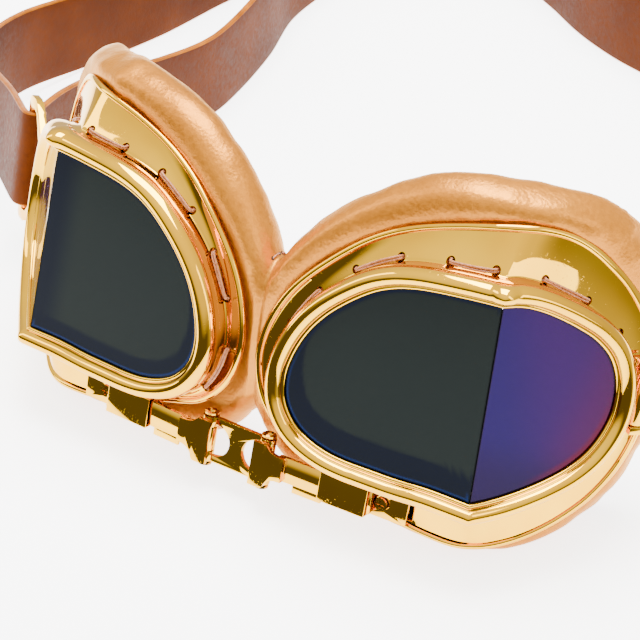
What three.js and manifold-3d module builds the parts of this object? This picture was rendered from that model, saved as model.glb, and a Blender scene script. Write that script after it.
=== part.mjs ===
// Split-lens motorcycle goggles: two hinged metal eyepieces on a leather mask,
// laced together through the frame flanges, with a hinged and adjustable nose
// bridge, swinging temple loops and one leather head strap with a sliding buckle.
//
// Units are millimetres, +Z up. The eyepieces are drawn upright in a "face"
// frame (X to the wearer's left, Y towards the face, Z up, mirror plane x = 0)
// and then leaned back by LEAN so that they rest on the lower edge of the mask,
// with the strap standing on its edge behind them.
import * as THREE from 'three';
import { mergeVertices } from 'three/addons/utils/BufferGeometryUtils.js';
import Module from 'manifold-3d';

const wasm = await Module();
wasm.setup();

// ---------------------------------------------------------------- dimensions
const LEAN = 18;                 // degrees that the goggles lean back at rest
const LIFT = 42.2;               // height of the face frame's origin over the surface
const X_SHIFT = 14.94;           // brings the middle of the whole box to x = 0
const Y_SHIFT = -120.74;         // and to y = 0

const PANE_YAW = 3.17;           // front pane, degrees about Z
const SIDE_YAW = 50.43;          // side pane, degrees about Z
const CENTRE_X = 50;             // middle of the front pane from the mirror plane
// Visible opening of the front pane (u outwards, v up), from the upper end of
// the split line, round the nose side, to the lower end.
const FRONT_EDGE = [
  [7.61, 24.39], [2.35, 24.01], [-1.43, 23.64], [-5.5, 23.2], [-9.31, 22.69], [-12.38, 22.09],
  [-15.98, 21.04], [-19.42, 19.51], [-22.11, 17.84], [-25.17, 15.46], [-28.16, 12.77], [-30.61, 10.2],
  [-33.33, 6.6], [-35.61, 2.38], [-37.28, -2.41], [-37.99, -6.78], [-37.28, -12.04], [-34.33, -16.44],
  [-30.56, -18.94], [-25.46, -20.58], [-20.5, -21.1], [-16.78, -21.09], [-12.85, -21.05], [-9.25, -21.0],
  [-6.36, -20.84], [-2.9, -20.58], [0.79, -20.43], [4.3, -20.45], [9.42, -20.55]];
// Visible opening of the side pane (w outwards from the split line, v along it).
const SIDE_EDGE = [
  [0, 22.47], [4.54, 22.52], [9.06, 21.57], [13.54, 19.95], [18.18, 17.83], [23.09, 15.02],
  [27.38, 10.87], [29.89, 5.41], [30.35, -0.6], [29.32, -5.3], [26.43, -10.49], [22.19, -14.43],
  [17.47, -17.13], [12.95, -19.07], [8.64, -20.56], [4.37, -21.69], [0, -22.47]];
const FRONT_STEPS = 25, SIDE_STEPS = 15;

// Tables round the opening: s is the fraction of its length from the top corner.
const FLANGE_W = [[0, 14.6], [0.05, 13.8], [0.1, 12.3], [0.15, 10.9], [0.2, 10.2], [0.25, 10.3], [0.3, 9.9],
  [0.35, 8.2], [0.4, 7.4], [0.45, 9.6], [0.5, 14.4], [0.55, 15.4], [0.6, 16.2], [0.65, 16.4], [0.7, 15.0],
  [0.75, 12.6], [0.8, 11], [0.85, 12.5], [0.9, 13.6], [0.95, 15.2]];
const FLANGE_D = [[0, 8.5], [0.05, 9.2], [0.1, 8], [0.15, 6.4], [0.2, 5.4], [0.25, 4.7], [0.3, 4.4],
  [0.35, 5.2], [0.4, 7.5], [0.45, 7.6], [0.5, 7.8], [0.55, 8.2], [0.6, 8.1], [0.65, 7.4], [0.7, 6.6],
  [0.75, 6.2], [0.8, 6.2], [0.85, 6.2], [0.9, 6.6], [0.95, 7.6]];
const GROOVE_D = [[0, 5], [0.05, 5], [0.1, 5], [0.15, 5], [0.2, 5], [0.25, 5], [0.3, 5], [0.35, 5.3],
  [0.4, 6.5], [0.45, 6.5], [0.5, 6.2], [0.55, 5.2], [0.6, 5], [0.65, 5], [0.7, 5], [0.75, 5], [0.8, 5],
  [0.85, 5], [0.9, 5], [0.95, 5]];
const BULGE = [[0, 8.4], [0.05, 9.8], [0.1, 11.2], [0.15, 10], [0.2, 9.6], [0.25, 9.6], [0.3, 9.2],
  [0.35, 13], [0.4, 10], [0.45, 5.2], [0.5, 3.4], [0.55, 3.2], [0.6, 3.6], [0.65, 4.9], [0.7, 5.6], [0.75, 4.8],
  [0.8, 4.8], [0.85, 8], [0.9, 10.6], [0.95, 10]];
const BULGE_BACK = [[0, 9], [0.05, 8], [0.1, 6.5], [0.15, 6], [0.2, 7], [0.25, 9], [0.3, 10], [0.35, 10],
  [0.4, 9], [0.45, 8], [0.5, 7], [0.55, 7], [0.6, 7], [0.65, 7], [0.7, 8], [0.75, 9], [0.8, 9], [0.85, 9],
  [0.9, 9], [0.95, 9]];
const LEATHER_SET_BACK = [[0, 0], [0.05, 0], [0.1, 0], [0.15, 0], [0.2, 0], [0.25, 0], [0.3, 1.2],
  [0.35, 4.6], [0.4, 2.2], [0.45, 0], [0.5, 0], [0.55, 0], [0.6, 0], [0.65, 0], [0.7, 0], [0.75, 0],
  [0.8, 0], [0.85, 0], [0.9, 0], [0.95, 0]];

const ROUND_SPAN = 6.5, ROUND_REACH = 14;  // how softly the flange's outer edge passes the corners

const WALL_IN = 3.3, WALL_OUT = 4.2;      // upright wall of the eyepiece, from the opening
const FLANGE_T = 0.9;                     // flange thickness
const SEAT_IN = -1.4;                     // inner edge of the seat behind the panes
const PANE_FRONT = -0.4, PANE_BACK = -2.4, PANE_OVER = 2.9;
const PANE_MITRE_GAP = 0.16;
const GASKET_FRONT = -2.7, GASKET_BACK = -4.7, GASKET_IN = -1.0;
const MASK_GAP = 2.9;                     // leather behind the face of the flange
const NOSE_HALF = 8.6, NOSE_GAP = 0.3;    // half width of the nose leather
const PAD_R = 2.3;                        // lining roll round the face edge

const HOLE_S = [0.848, 0.895, 0.95, 0.018, 0.073, 0.123, 0.171, 0.218, 0.264, 0.312, 0.355, 0.4];
const HOLE_Q = 5.6, HOLE_R = 1.0, LACE_R = 0.45;

// nose bridge hardware
const PIN_X = 7.8, PIN_Y = 3.2;
const LINK = { top: -25.2, bottom: -36.3, y0: 2.6, y1: 3.8, rail: 1.6, web: 1.65 };
const KNUCKLE_R = 1.9, PIN_R = 0.8, PIN_HOLE = 1.1;
const MID_KNUCKLE = [-27.9, -33.6];       // the arm's knuckle between the link's two
const HEAD = { x0: 5.9, x1: 9.8, y0: -0.25, y1: 0.8 };   // plate at the arm's end, in front of the pin
const ARM = { n0: -4.0, n1: -3.0, top: -25.5, bottom: -36.3, neck0: -27.2, neck1: -33.1, shoulder: 13.6, end: 35.9 };
const KEEPER = { x0: 23.3, x1: 35.2, z0: -26.45, z1: -33.85, n0: -5.0, n1: -2.0, wall: 0.5 };
const BASE = { x0: 21.6, x1: 43.8, z0: -27.4, z1: -34.0, n0: -6.0, n1: -5.3, tabX: 15.6, tabX1: 22.9, tabZ0: -33.5, tabZ1: -36.2 };
const SCREW = { x: 37.6, z: -30.4, r: 0.75, hole: 1.1, head: 1.5 };

// temple loop hardware, in the plane of the side pane
const LOOP_Z = 3.5;                       // height of the loop's middle
const LOOP_PIN = { w: 38, n: -2.4 };
const LOOP_DIR = 36.87;                   // direction of the loop, degrees from X
const LOOP_T = 1.8;
const BAR_R = 18.9;                       // strap bar from the pin

// strap
const STRAP_W = 25, STRAP_T = 1.8;

// ---------------------------------------------------------------- materials
const M = (hex, rough, metal, extra = {}) => () =>
  new THREE.MeshStandardMaterial({ color: hex, roughness: rough, metalness: metal, ...extra });
const gold = M(0xd9a93c, 0.18, 1), goldDark = M(0xb98a2c, 0.3, 1), glassFront = M(0x3b4140, 0.08, 0.1),
  glassSide = M(0x463f8a, 0.08, 0.3), rubber = M(0x1b1b1c, 0.7, 0), leather = M(0xd9a577, 0.45, 0.25),
  lining = M(0x4a3527, 0.9, 0), thread = M(0xc98f76, 0.7, 0), strapLeather = M(0x8f4a1f, 0.75, 0);

// ---------------------------------------------------------------- helpers
const V = (x, y, z) => new THREE.Vector3(x, y, z);
const rad = THREE.MathUtils.degToRad;

function geometryFrom(points, triangles) {
  const pos = new Float32Array(triangles.length * 9);
  let k = 0;
  for (const t of triangles) for (const i of t) { const p = points[i]; pos[k++] = p.x; pos[k++] = p.y; pos[k++] = p.z; }
  let g = new THREE.BufferGeometry();
  g.setAttribute('position', new THREE.BufferAttribute(pos, 3));
  g = mergeVertices(g, 1e-4);
  return outward(g);
}
function volumeOf(g) {
  const p = g.attributes.position, ix = g.index.array;
  const a = V(), b = V(), c = V(); let v = 0;
  for (let i = 0; i < ix.length; i += 3) {
    a.fromBufferAttribute(p, ix[i]); b.fromBufferAttribute(p, ix[i + 1]); c.fromBufferAttribute(p, ix[i + 2]);
    v += a.dot(b.clone().cross(c)) / 6;
  }
  return v;
}
function outward(g) {
  if (volumeOf(g) < 0) flip(g);
  return g;
}
function flip(g) {
  const ix = g.index.array;
  for (let i = 0; i < ix.length; i += 3) { const t = ix[i]; ix[i] = ix[i + 1]; ix[i + 1] = t; }
}
function plain(g) {
  let h = g.clone();
  h.deleteAttribute('normal'); h.deleteAttribute('uv');
  h = mergeVertices(h, 1e-4);
  return outward(h);
}
function toSolid(g) {
  const h = g.userData.solid ? g : plain(g);
  return new wasm.Manifold(new wasm.Mesh({ numProp: 3, vertProperties: new Float32Array(h.attributes.position.array), triVerts: new Uint32Array(h.index.array) }));
}
function fromSolid(m) {
  const mesh = m.getMesh();
  const g = new THREE.BufferGeometry();
  const n = mesh.numProp, src = mesh.vertProperties, pos = new Float32Array(src.length / n * 3);
  for (let i = 0; i < pos.length / 3; i++) for (let j = 0; j < 3; j++) pos[i * 3 + j] = src[i * n + j];
  g.setAttribute('position', new THREE.BufferAttribute(pos, 3));
  g.setIndex(new THREE.BufferAttribute(new Uint32Array(mesh.triVerts), 1));
  g.userData.solid = true;
  return g;
}
const cut = (g, ...tools) => fromSolid(tools.reduce((s, t) => s.subtract(toSolid(t)), toSolid(g)));
const join = (g, ...parts) => fromSolid(parts.reduce((s, t) => s.add(toSolid(t)), toSolid(g)));
const common = (g, t) => fromSolid(toSolid(g).intersect(toSolid(t)));

// ring of equal sections round a closed path
function ring(sections) {
  const n = sections.length, m = sections[0].length, pts = sections.flat(), tri = [];
  for (let i = 0; i < n; i++) for (let j = 0; j < m; j++) {
    const a = i * m + j, b = i * m + (j + 1) % m, c = ((i + 1) % n) * m + j, d = ((i + 1) % n) * m + (j + 1) % m;
    tri.push([a, b, d], [a, d, c]);
  }
  return geometryFrom(pts, tri);
}
// loft of equal convex sections with flat ends
function loft(sections) {
  const n = sections.length, m = sections[0].length, pts = sections.flat(), tri = [];
  for (let i = 0; i < n - 1; i++) for (let j = 0; j < m; j++) {
    const a = i * m + j, b = i * m + (j + 1) % m, c = (i + 1) * m + j, d = (i + 1) * m + (j + 1) % m;
    tri.push([a, b, d], [a, d, c]);
  }
  for (let j = 1; j < m - 1; j++) {
    tri.push([0, j + 1, j]);
    tri.push([(n - 1) * m, (n - 1) * m + j, (n - 1) * m + j + 1]);
  }
  return geometryFrom(pts, tri);
}
// tube with mitred corners along a polyline
function tube(path, r, sides) {
  const dirs = [];
  for (let i = 0; i < path.length - 1; i++) dirs.push(path[i + 1].clone().sub(path[i]).normalize());
  let side = Math.abs(dirs[0].z) < 0.8 ? V(0, 0, 1).cross(dirs[0]).normalize() : V(1, 0, 0).cross(dirs[0]).normalize();
  const up = dirs[0].clone().cross(side);
  let ringV = [];
  for (let k = 0; k < sides; k++) {
    const a = 2 * Math.PI * k / sides;
    ringV.push(side.clone().multiplyScalar(r * Math.cos(a)).addScaledVector(up, r * Math.sin(a)));
  }
  const sections = [ringV.map(v => path[0].clone().add(v))];
  for (let i = 1; i < path.length; i++) {
    const d0 = dirs[i - 1], last = i === path.length - 1;
    const m = last ? d0.clone() : d0.clone().add(dirs[i]).normalize();
    const pts = ringV.map(v => path[i].clone().add(v).addScaledVector(d0, -v.dot(m) / d0.dot(m)));
    sections.push(pts);
    if (!last) {
      const d1 = dirs[i];
      ringV = pts.map(p => { const q = p.clone().sub(path[i]); return q.addScaledVector(d1, -q.dot(d1)); });
    }
  }
  return loft(sections);
}
// flat plate from an outline in a plane: axes a (first), b (second), thickness along c
function plate(outline, holes, origin, a, b, c, c0, c1) {
  const wound = (pts, ccw) => {
    const v = pts.map(p => new THREE.Vector2(p[0], p[1]));
    return (THREE.ShapeUtils.area(v) > 0) === ccw ? v : v.reverse();
  };
  const shape = new THREE.Shape(wound(outline, true));
  for (const h of holes) shape.holes.push(new THREE.Path(wound(h, false)));
  const g = new THREE.ExtrudeGeometry(shape, { depth: c1 - c0, bevelEnabled: false, steps: 1 });
  g.translate(0, 0, c0);
  g.applyMatrix4(new THREE.Matrix4().makeBasis(a, b, c).setPosition(origin));
  return plain(g);
}
function rod(p0, p1, r, sides = 16) {
  const g = new THREE.CylinderGeometry(r, r, p0.distanceTo(p1), sides);
  const q = new THREE.Quaternion().setFromUnitVectors(V(0, 1, 0), p1.clone().sub(p0).normalize());
  g.applyQuaternion(q);
  const mid = p0.clone().add(p1).multiplyScalar(0.5);
  g.translate(mid.x, mid.y, mid.z);
  return plain(g);
}
function box(x0, x1, y0, y1, z0, z1) {
  const g = new THREE.BoxGeometry(x1 - x0, y1 - y0, z1 - z0);
  g.translate((x0 + x1) / 2, (y0 + y1) / 2, (z0 + z1) / 2);
  return plain(g);
}
const arcPts = (cx, cy, r, a0, a1, n) => Array.from({ length: n + 1 }, (_, i) => {
  const a = rad(a0 + (a1 - a0) * i / n); return [cx + r * Math.cos(a), cy + r * Math.sin(a)];
});
// periodic Catmull-Rom lookup in a table
function look(table, s) {
  const n = table.length; s = ((s % 1) + 1) % 1;
  let i = n - 1; for (let k = 0; k < n; k++) if (table[k][0] <= s) i = k;
  const S = k => table[((k % n) + n) % n][0] + Math.floor(k / n), Y = k => table[((k % n) + n) % n][1];
  const t = (s - S(i)) / (S(i + 1) - S(i));
  const m0 = (Y(i + 1) - Y(i - 1)) / 2, m1 = (Y(i + 2) - Y(i)) / 2, t2 = t * t, t3 = t2 * t;
  return (2 * t3 - 3 * t2 + 1) * Y(i) + (t3 - 2 * t2 + t) * m0 + (-2 * t3 + 3 * t2) * Y(i + 1) + (t3 - t2) * m1;
}

// ---------------------------------------------------------------- opening of one eyepiece (wearer's left, +X)
const UP = V(0, 0, 1);
const E1 = V(Math.cos(rad(PANE_YAW)), Math.sin(rad(PANE_YAW)), 0);
const N1 = V(Math.sin(rad(PANE_YAW)), -Math.cos(rad(PANE_YAW)), 0);
const C0 = V(CENTRE_X, 0, 0);
const TOP = C0.clone().addScaledVector(E1, FRONT_EDGE[0][0]).addScaledVector(UP, FRONT_EDGE[0][1]);
const LOW = C0.clone().addScaledVector(E1, FRONT_EDGE.at(-1)[0]).addScaledVector(UP, FRONT_EDGE.at(-1)[1]);
const SPLIT = TOP.clone().sub(LOW).normalize();
const MID = TOP.clone().add(LOW).multiplyScalar(0.5);
const E2 = V(Math.cos(rad(SIDE_YAW)), Math.sin(rad(SIDE_YAW)), 0);
E2.addScaledVector(SPLIT, -E2.dot(SPLIT)).normalize();
const N2 = E2.clone().cross(SPLIT).normalize();
const K2 = TOP.distanceTo(LOW) / 2 / SIDE_EDGE[0][1];
const BIS = N1.clone().add(N2).normalize();
const MITRE = 1 / BIS.dot(N1);

function openingStations() {
  const front = new THREE.CatmullRomCurve3(FRONT_EDGE.map(p => C0.clone().addScaledVector(E1, p[0]).addScaledVector(UP, p[1])), false, 'centripetal');
  const side = new THREE.CatmullRomCurve3(SIDE_EDGE.map(p => MID.clone().addScaledVector(E2, p[0]).addScaledVector(SPLIT, p[1] * K2)).reverse(), false, 'centripetal');
  front.arcLengthDivisions = side.arcLengthDivisions = 600;
  const Lf = front.getLength(), Ls = side.getLength(), L = Lf + Ls, out = [];
  for (let i = 0; i <= FRONT_STEPS; i++) {
    const u = i / FRONT_STEPS, t = front.getTangentAt(u);
    out.push({ s: u * Lf / L, p: front.getPointAt(u), q: N1.clone().cross(t).normalize().negate(), n: N1.clone(), k: 1, pane: 'front' });
  }
  for (let i = 0; i < SIDE_STEPS; i++) {
    const u = i / SIDE_STEPS, t = side.getTangentAt(u);
    const st = { s: (Lf + u * Ls) / L, p: side.getPointAt(u), q: N2.clone().cross(t).normalize().negate(), n: N2.clone(), k: 1, pane: 'side' };
    if (i === 0) { out.at(-1).q = out.at(-1).q.clone().add(st.q).normalize(); continue; }
    out.push(st);
  }
  out[0].q.add(N2.clone().cross(side.getTangentAt(1)).normalize().negate()).normalize();
  for (const i of [0, FRONT_STEPS]) { out[i].n = BIS.clone(); out[i].k = MITRE; out[i].q.addScaledVector(BIS, -out[i].q.dot(BIS)).normalize(); }
  // outward means away from the middle of the opening
  const mid = V(58, 5, 1);
  for (const st of out) if (st.p.clone().sub(mid).dot(st.q) < 0) st.q.negate();
  return { list: out, front, side, Lf, Ls, L };
}
const OPEN = openingStations();
function stationAt(s) {
  s = ((s % 1) + 1) % 1;
  const list = OPEN.list, n = list.length;
  let i = n - 1;
  for (let k = 0; k < n; k++) if (list[k].s <= s) i = k;
  const a = list[i], b = list[(i + 1) % n], sb = i === n - 1 ? 1 : b.s, t = (s - a.s) / (sb - a.s);
  return { s, p: a.p.clone().lerp(b.p, t), q: a.q.clone().lerp(b.q, t),
    n: a.n.clone().multiplyScalar(a.k).lerp(b.n.clone().multiplyScalar(b.k), t), k: 1 };
}
const at = (st, q, n) => st.p.clone().addScaledVector(st.q, q).addScaledVector(st.n, n * st.k);
const flange = st => ({ w: look(FLANGE_W, st.s), d: look(FLANGE_D, st.s), g: look(GROOVE_D, st.s) });
// below the groove the flange and the leather drop straight back (+Y), also where the pane is turned to the side
const dropBack = (st, q, n, from) => {
  const p = at(st, q, Math.max(n, from));
  return n < from ? p.add(V(0, from - n, 0)) : p;
};
// the outer edge rounds off the two corners of the opening instead of following them
const OUTER = OPEN.list.map(st => { const f = flange(st); return dropBack(st, f.w, -f.d, -f.g - 0.2); });
const along = (a, b) => { const d = Math.abs(a - b) % 1; return Math.min(d, 1 - d) * OPEN.L; };
const LOW_S = OPEN.Lf / OPEN.L;
function rounding(st) {
  const s = ((st.s % 1) + 1) % 1, near = Math.min(along(s, 0), along(s, LOW_S));
  const win = Math.exp(-0.5 * (near / ROUND_REACH) ** 2), sum = V(), list = OPEN.list, n = list.length;
  let tot = 0;
  if (win < 0.02) return V();
  for (let i = 0; i < n; i++) {
    const gap = along(list[(i + 1) % n].s, list[(i + n - 1) % n].s) / 2;
    const k = Math.exp(-0.5 * (along(list[i].s, s) / ROUND_SPAN) ** 2) * gap;
    sum.addScaledVector(OUTER[i], k); tot += k;
  }
  const f = flange(st);
  return sum.multiplyScalar(1 / tot).sub(dropBack(st, f.w, -f.d, -f.g - 0.2)).multiplyScalar(win);
}
const straightBack = (st, q, n, from) => {
  const t = THREE.MathUtils.clamp((q - 5.2) / (flange(st).w - 5.2), 0, 1);
  return dropBack(st, q, n, from).addScaledVector(rounding(st), t);
};
// height of the flange's face at a distance q from the opening
function flangeFace(st, q) {
  const f = flange(st), g0 = -f.g - 0.2, t = THREE.MathUtils.clamp((q - 5.2) / (f.w - 1.2 - 5.2), 0, 1);
  return g0 + (-f.d - g0) * t + 0.3 * Math.sin(Math.PI * t);
}

// ---------------------------------------------------------------- pieces of one eyepiece
function frameSection(st) {
  const f = flange(st), a = 5.2, b = f.w - 1.2, m = (a + b) / 2;
  const top = q => flangeFace(st, q);
  return [
    [WALL_IN, -0.3], [WALL_OUT, -0.3], [WALL_OUT, -f.g], [a, top(a)], [m, top(m)], [b, top(b)],
    [f.w - 0.5, -f.d + 0.55], [f.w + 0.25, -f.d + 0.2], [f.w + 0.25, -f.d - 0.7],
    [m, top(m) - FLANGE_T], [a - 1.2, top(a) - FLANGE_T], [SEAT_IN, -5.9], [SEAT_IN, -5.0], [WALL_IN, -5.0],
  ].map(([q, n]) => (q > 5.19 ? straightBack(st, q, n, -f.g - 0.2) : at(st, q, n)));
}
function rimSection(st) {
  return [[0, -0.1], [0.1, 0.5], [0.9, 1.7], [2.2, 2.3], [3.6, 1.9], [4.7, 0.8], [5.0, -0.6], [4.9, -2.6],
    [4.5, -2.6], [4.5, 0.0]].map(([q, n]) => at(st, q, n));
}
function frameSolid() {
  const g = ring(OPEN.list.map(frameSection));
  const tools = HOLE_S.map(s => {
    const st = stationAt(s), n = flangeFace(st, HOLE_Q);
    return rod(at(st, HOLE_Q, n + 1.2), at(st, HOLE_Q, n - 2.0), HOLE_R, 8);
  });
  tools.push(rod(onPane(SCREW.x, -4.8, SCREW.z), onPane(SCREW.x, -11, SCREW.z), SCREW.hole, 14));
  return cut(g, ...tools);
}
// point at a given x and z, at height n over the plane of the front pane
function onPane(x, n, z) {
  const u = (x - CENTRE_X - N1.x * n) / E1.x;
  return C0.clone().addScaledVector(E1, u).addScaledVector(N1, n).setZ(z);
}
function splitBlock(keepFront) {
  // half space on one side of the mitre plane between the panes, as a big block
  const across = SPLIT.clone().cross(BIS).normalize();           // along the panes
  const outw = across.dot(E2) > 0 ? across : across.negate();
  const o = MID.clone().addScaledVector(outw, keepFront ? -PANE_MITRE_GAP : PANE_MITRE_GAP);
  const g = new THREE.BoxGeometry(120, 120, 120);
  g.translate(keepFront ? -60 : 60, 0, 0);
  g.applyMatrix4(new THREE.Matrix4().makeBasis(outw, BIS, outw.clone().cross(BIS)).setPosition(o));
  return plain(g);
}
function paneSolid(which) {
  const isFront = which === 'front', A = isFront ? E1 : E2, B = isFront ? UP : SPLIT, N = isFront ? N1 : N2, O = isFront ? C0 : MID;
  const list = OPEN.list.filter((st, i) => i === 0 || i === FRONT_STEPS || st.pane === which);
  let pts = list.map(st => st.p.clone().addScaledVector(st.q, PANE_OVER).sub(O)).map(p => [p.dot(A), p.dot(B)]);
  const ext = isFront ? 4 : -4;
  if (isFront) {
    pts = [[pts[0][0] + ext, pts[0][1]], ...pts, [pts.at(-1)[0] + ext, pts.at(-1)[1]]];
  } else {
    const first = pts.shift();            // the top corner comes first in the list
    pts.push(first);
    pts = [[pts[0][0] + ext, pts[0][1]], ...pts, [pts.at(-1)[0] + ext, pts.at(-1)[1]]];
  }
  const g = plate(pts, [], O, A, B, A.clone().cross(B), 0, 1);
  // place the thickness along the pane's own normal
  const C = A.clone().cross(B), sign = Math.sign(C.dot(N));
  const p = g.attributes.position, v = V();
  for (let i = 0; i < p.count; i++) {
    v.fromBufferAttribute(p, i);
    const c = v.clone().sub(O).dot(C);
    v.addScaledVector(C, -c).addScaledVector(N, c > 0.5 ? PANE_FRONT : PANE_BACK);
    p.setXYZ(i, v.x, v.y, v.z);
  }
  if (sign < 0) flip(g);
  return common(outward(g), splitBlock(isFront));
}
function paneBar() {
  const corner = n => BIS.clone().multiplyScalar(n * MITRE);
  const arm = (e, w, nn, n) => e.clone().multiplyScalar(w).addScaledVector(nn, n);
  const sec = [corner(GASKET_FRONT), arm(E1, -2.4, N1, GASKET_FRONT), arm(E1, -2.4, N1, GASKET_FRONT - 0.8),
    corner(GASKET_FRONT - 0.8), arm(E2, 2.4, N2, GASKET_FRONT - 0.8), arm(E2, 2.4, N2, GASKET_FRONT)];
  const lo = LOW.clone().addScaledVector(SPLIT, 1.6), hi = TOP.clone().addScaledVector(SPLIT, -1.6);
  const pts = [...sec.map(v => lo.clone().add(v)), ...sec.map(v => hi.clone().add(v))];
  const tri = [], m = 6;
  for (let j = 0; j < m; j++) { const a = j, b = (j + 1) % m; tri.push([a, b, b + m], [a, b + m, a + m]); }
  for (const [x, y, z] of [[0, 1, 2], [0, 2, 3], [0, 3, 4], [0, 4, 5]]) { tri.push([x, z, y]); tri.push([x + m, y + m, z + m]); }
  return geometryFrom(pts, tri);
}
function gasketSection(st) {
  return [[GASKET_IN, GASKET_FRONT], [PANE_OVER, GASKET_FRONT], [PANE_OVER, GASKET_BACK], [GASKET_IN, GASKET_BACK]].map(([q, n]) => at(st, q, n));
}
// leather ring behind the flange, bulging out past it and back to the face
const EYE = V(46, 0, 1);
const faceY = x => 22.5 + 0.0042 * Math.max(0, x - 8) ** 2;
function maskSection(st) {
  const f = flange(st), b = look(BULGE, st.s), back = look(BULGE_BACK, st.s), set = Math.max(0, look(LEATHER_SET_BACK, st.s));
  const from = -f.g - 0.2;
  const F = straightBack(st, f.w, -f.d, from);
  const o = V(F.x - EYE.x, 0, F.z - EYE.z).normalize();
  const m1 = at(st, 1.5, -f.g - MASK_GAP);
  const m2 = straightBack(st, f.w - 2.0, -f.d - MASK_GAP, from);
  const m3 = straightBack(st, f.w + 1.3, -f.d - 0.5 - set, from);
  const m4 = straightBack(st, f.w + 0.66 * b, -f.d - 2.0 - set, from);
  const m5 = straightBack(st, f.w + b, -f.d - back - set * 0.5, from);
  const m7 = V(F.x, 0, F.z).addScaledVector(o, -1.0); m7.y = faceY(m7.x);
  const m6 = m5.clone().add(m7).multiplyScalar(0.5).addScaledVector(o, 0.22 * b);
  const m8 = V(F.x, 0, F.z).addScaledVector(o, -6.5); m8.y = faceY(m8.x) - 0.5;
  const m9 = m8.clone().add(m1).multiplyScalar(0.5).addScaledVector(o, 0.8);
  return [m1, m2, m3, m4, m5, m6, m7, m8, m9];
}
function padSection(st) {
  const f = flange(st), F = straightBack(st, f.w, -f.d, -f.g - 0.2);
  const o = V(F.x - EYE.x, 0, F.z - EYE.z).normalize();
  const c = V(F.x, 0, F.z).addScaledVector(o, -4.2); c.y = faceY(c.x) + PAD_R + 0.1;
  return Array.from({ length: 6 }, (_, k) => {
    const a = 2 * Math.PI * k / 6;
    return c.clone().addScaledVector(o, PAD_R * 1.15 * Math.cos(a)).add(V(0, PAD_R * 0.9 * Math.sin(a), 0));
  });
}
function laceSolid() {
  const path = [], hole = (i, dn) => { const st = stationAt(HOLE_S[i]); return at(st, HOLE_Q, flangeFace(st, HOLE_Q) + dn); };
  const over = 0.85, under = -FLANGE_T - 1.0, N = HOLE_S.length;
  const unwrap = HOLE_S.map(s => s > 0.7 ? s - 1 : s);
  // starts behind the first hole, and surfaces from the second, fourth, ... to the next
  const lead = stationAt(unwrap[0] - 0.006);
  path.push(at(lead, HOLE_Q, flangeFace(lead, HOLE_Q) + under));
  for (let i = 0; i < N - 1; i++) {
    const front = i % 2 === 1, dn = front ? over : under;
    const span = front ? 3 : 3;
    if (i > 0) path.push(hole(i, dn));
    for (let k = 1; k < span; k++) {
      const st = stationAt(unwrap[i] + (unwrap[i + 1] - unwrap[i]) * k / span);
      path.push(at(st, HOLE_Q - (front ? 0.25 : 0), flangeFace(st, HOLE_Q) + dn + (front ? 0.12 : 0)));
    }
    path.push(hole(i + 1, dn));
  }
  const tail = stationAt(unwrap[N - 1] + 0.008);
  path.push(at(tail, HOLE_Q, flangeFace(tail, HOLE_Q) + under));
  return tube(path, LACE_R, 6);
}

// ---------------------------------------------------------------- nose bridge
function link() {
  // two rails joined by a waisted web, with a rolled knuckle at each end of each rail
  const L = LINK, w = PIN_X, zc = (L.top + L.bottom) / 2, h = (L.top - L.bottom) / 2 - L.rail;
  const outline = [[-w, L.top], [w, L.top], [w, L.bottom], [-w, L.bottom]];
  const opening = s => [[s * (w + 1), zc - h], ...arcPts(s * (L.web + h), zc, h, s > 0 ? 270 : -90, s > 0 ? 90 : 90, 12), [s * (w + 1), zc + h]];
  let solid = toSolid(box(-w, w, L.y0, L.y1, L.bottom, L.top));
  for (const s of [-1, 1]) {
    const pts = opening(s).map(([x, z]) => [x, z]);
    solid = solid.subtract(toSolid(plate(pts, [], V(0, 0, 0), V(1, 0, 0), V(0, 0, 1), V(0, 1, 0), L.y0 - 1, L.y1 + 1)));
    const x0 = s > 0 ? PIN_X - KNUCKLE_R - 0.35 : -PIN_X - 4, x1 = s > 0 ? PIN_X + 4 : -PIN_X + KNUCKLE_R + 0.35;
    solid = solid.subtract(toSolid(box(x0, x1, -1, 7, MID_KNUCKLE[1] - 0.3, MID_KNUCKLE[0] + 0.3)));
    for (const [z0, z1] of [[L.top, MID_KNUCKLE[0] + 0.3], [MID_KNUCKLE[1] - 0.3, L.bottom]]) {
      solid = solid.add(toSolid(rod(V(s * PIN_X, PIN_Y, z0), V(s * PIN_X, PIN_Y, z1), KNUCKLE_R, 20)));
    }
  }
  for (const s of [-1, 1]) solid = solid.subtract(toSolid(rod(V(s * PIN_X, PIN_Y, -20), V(s * PIN_X, PIN_Y, -40), PIN_HOLE, 12)));
  return fromSolid(solid);
}
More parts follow.
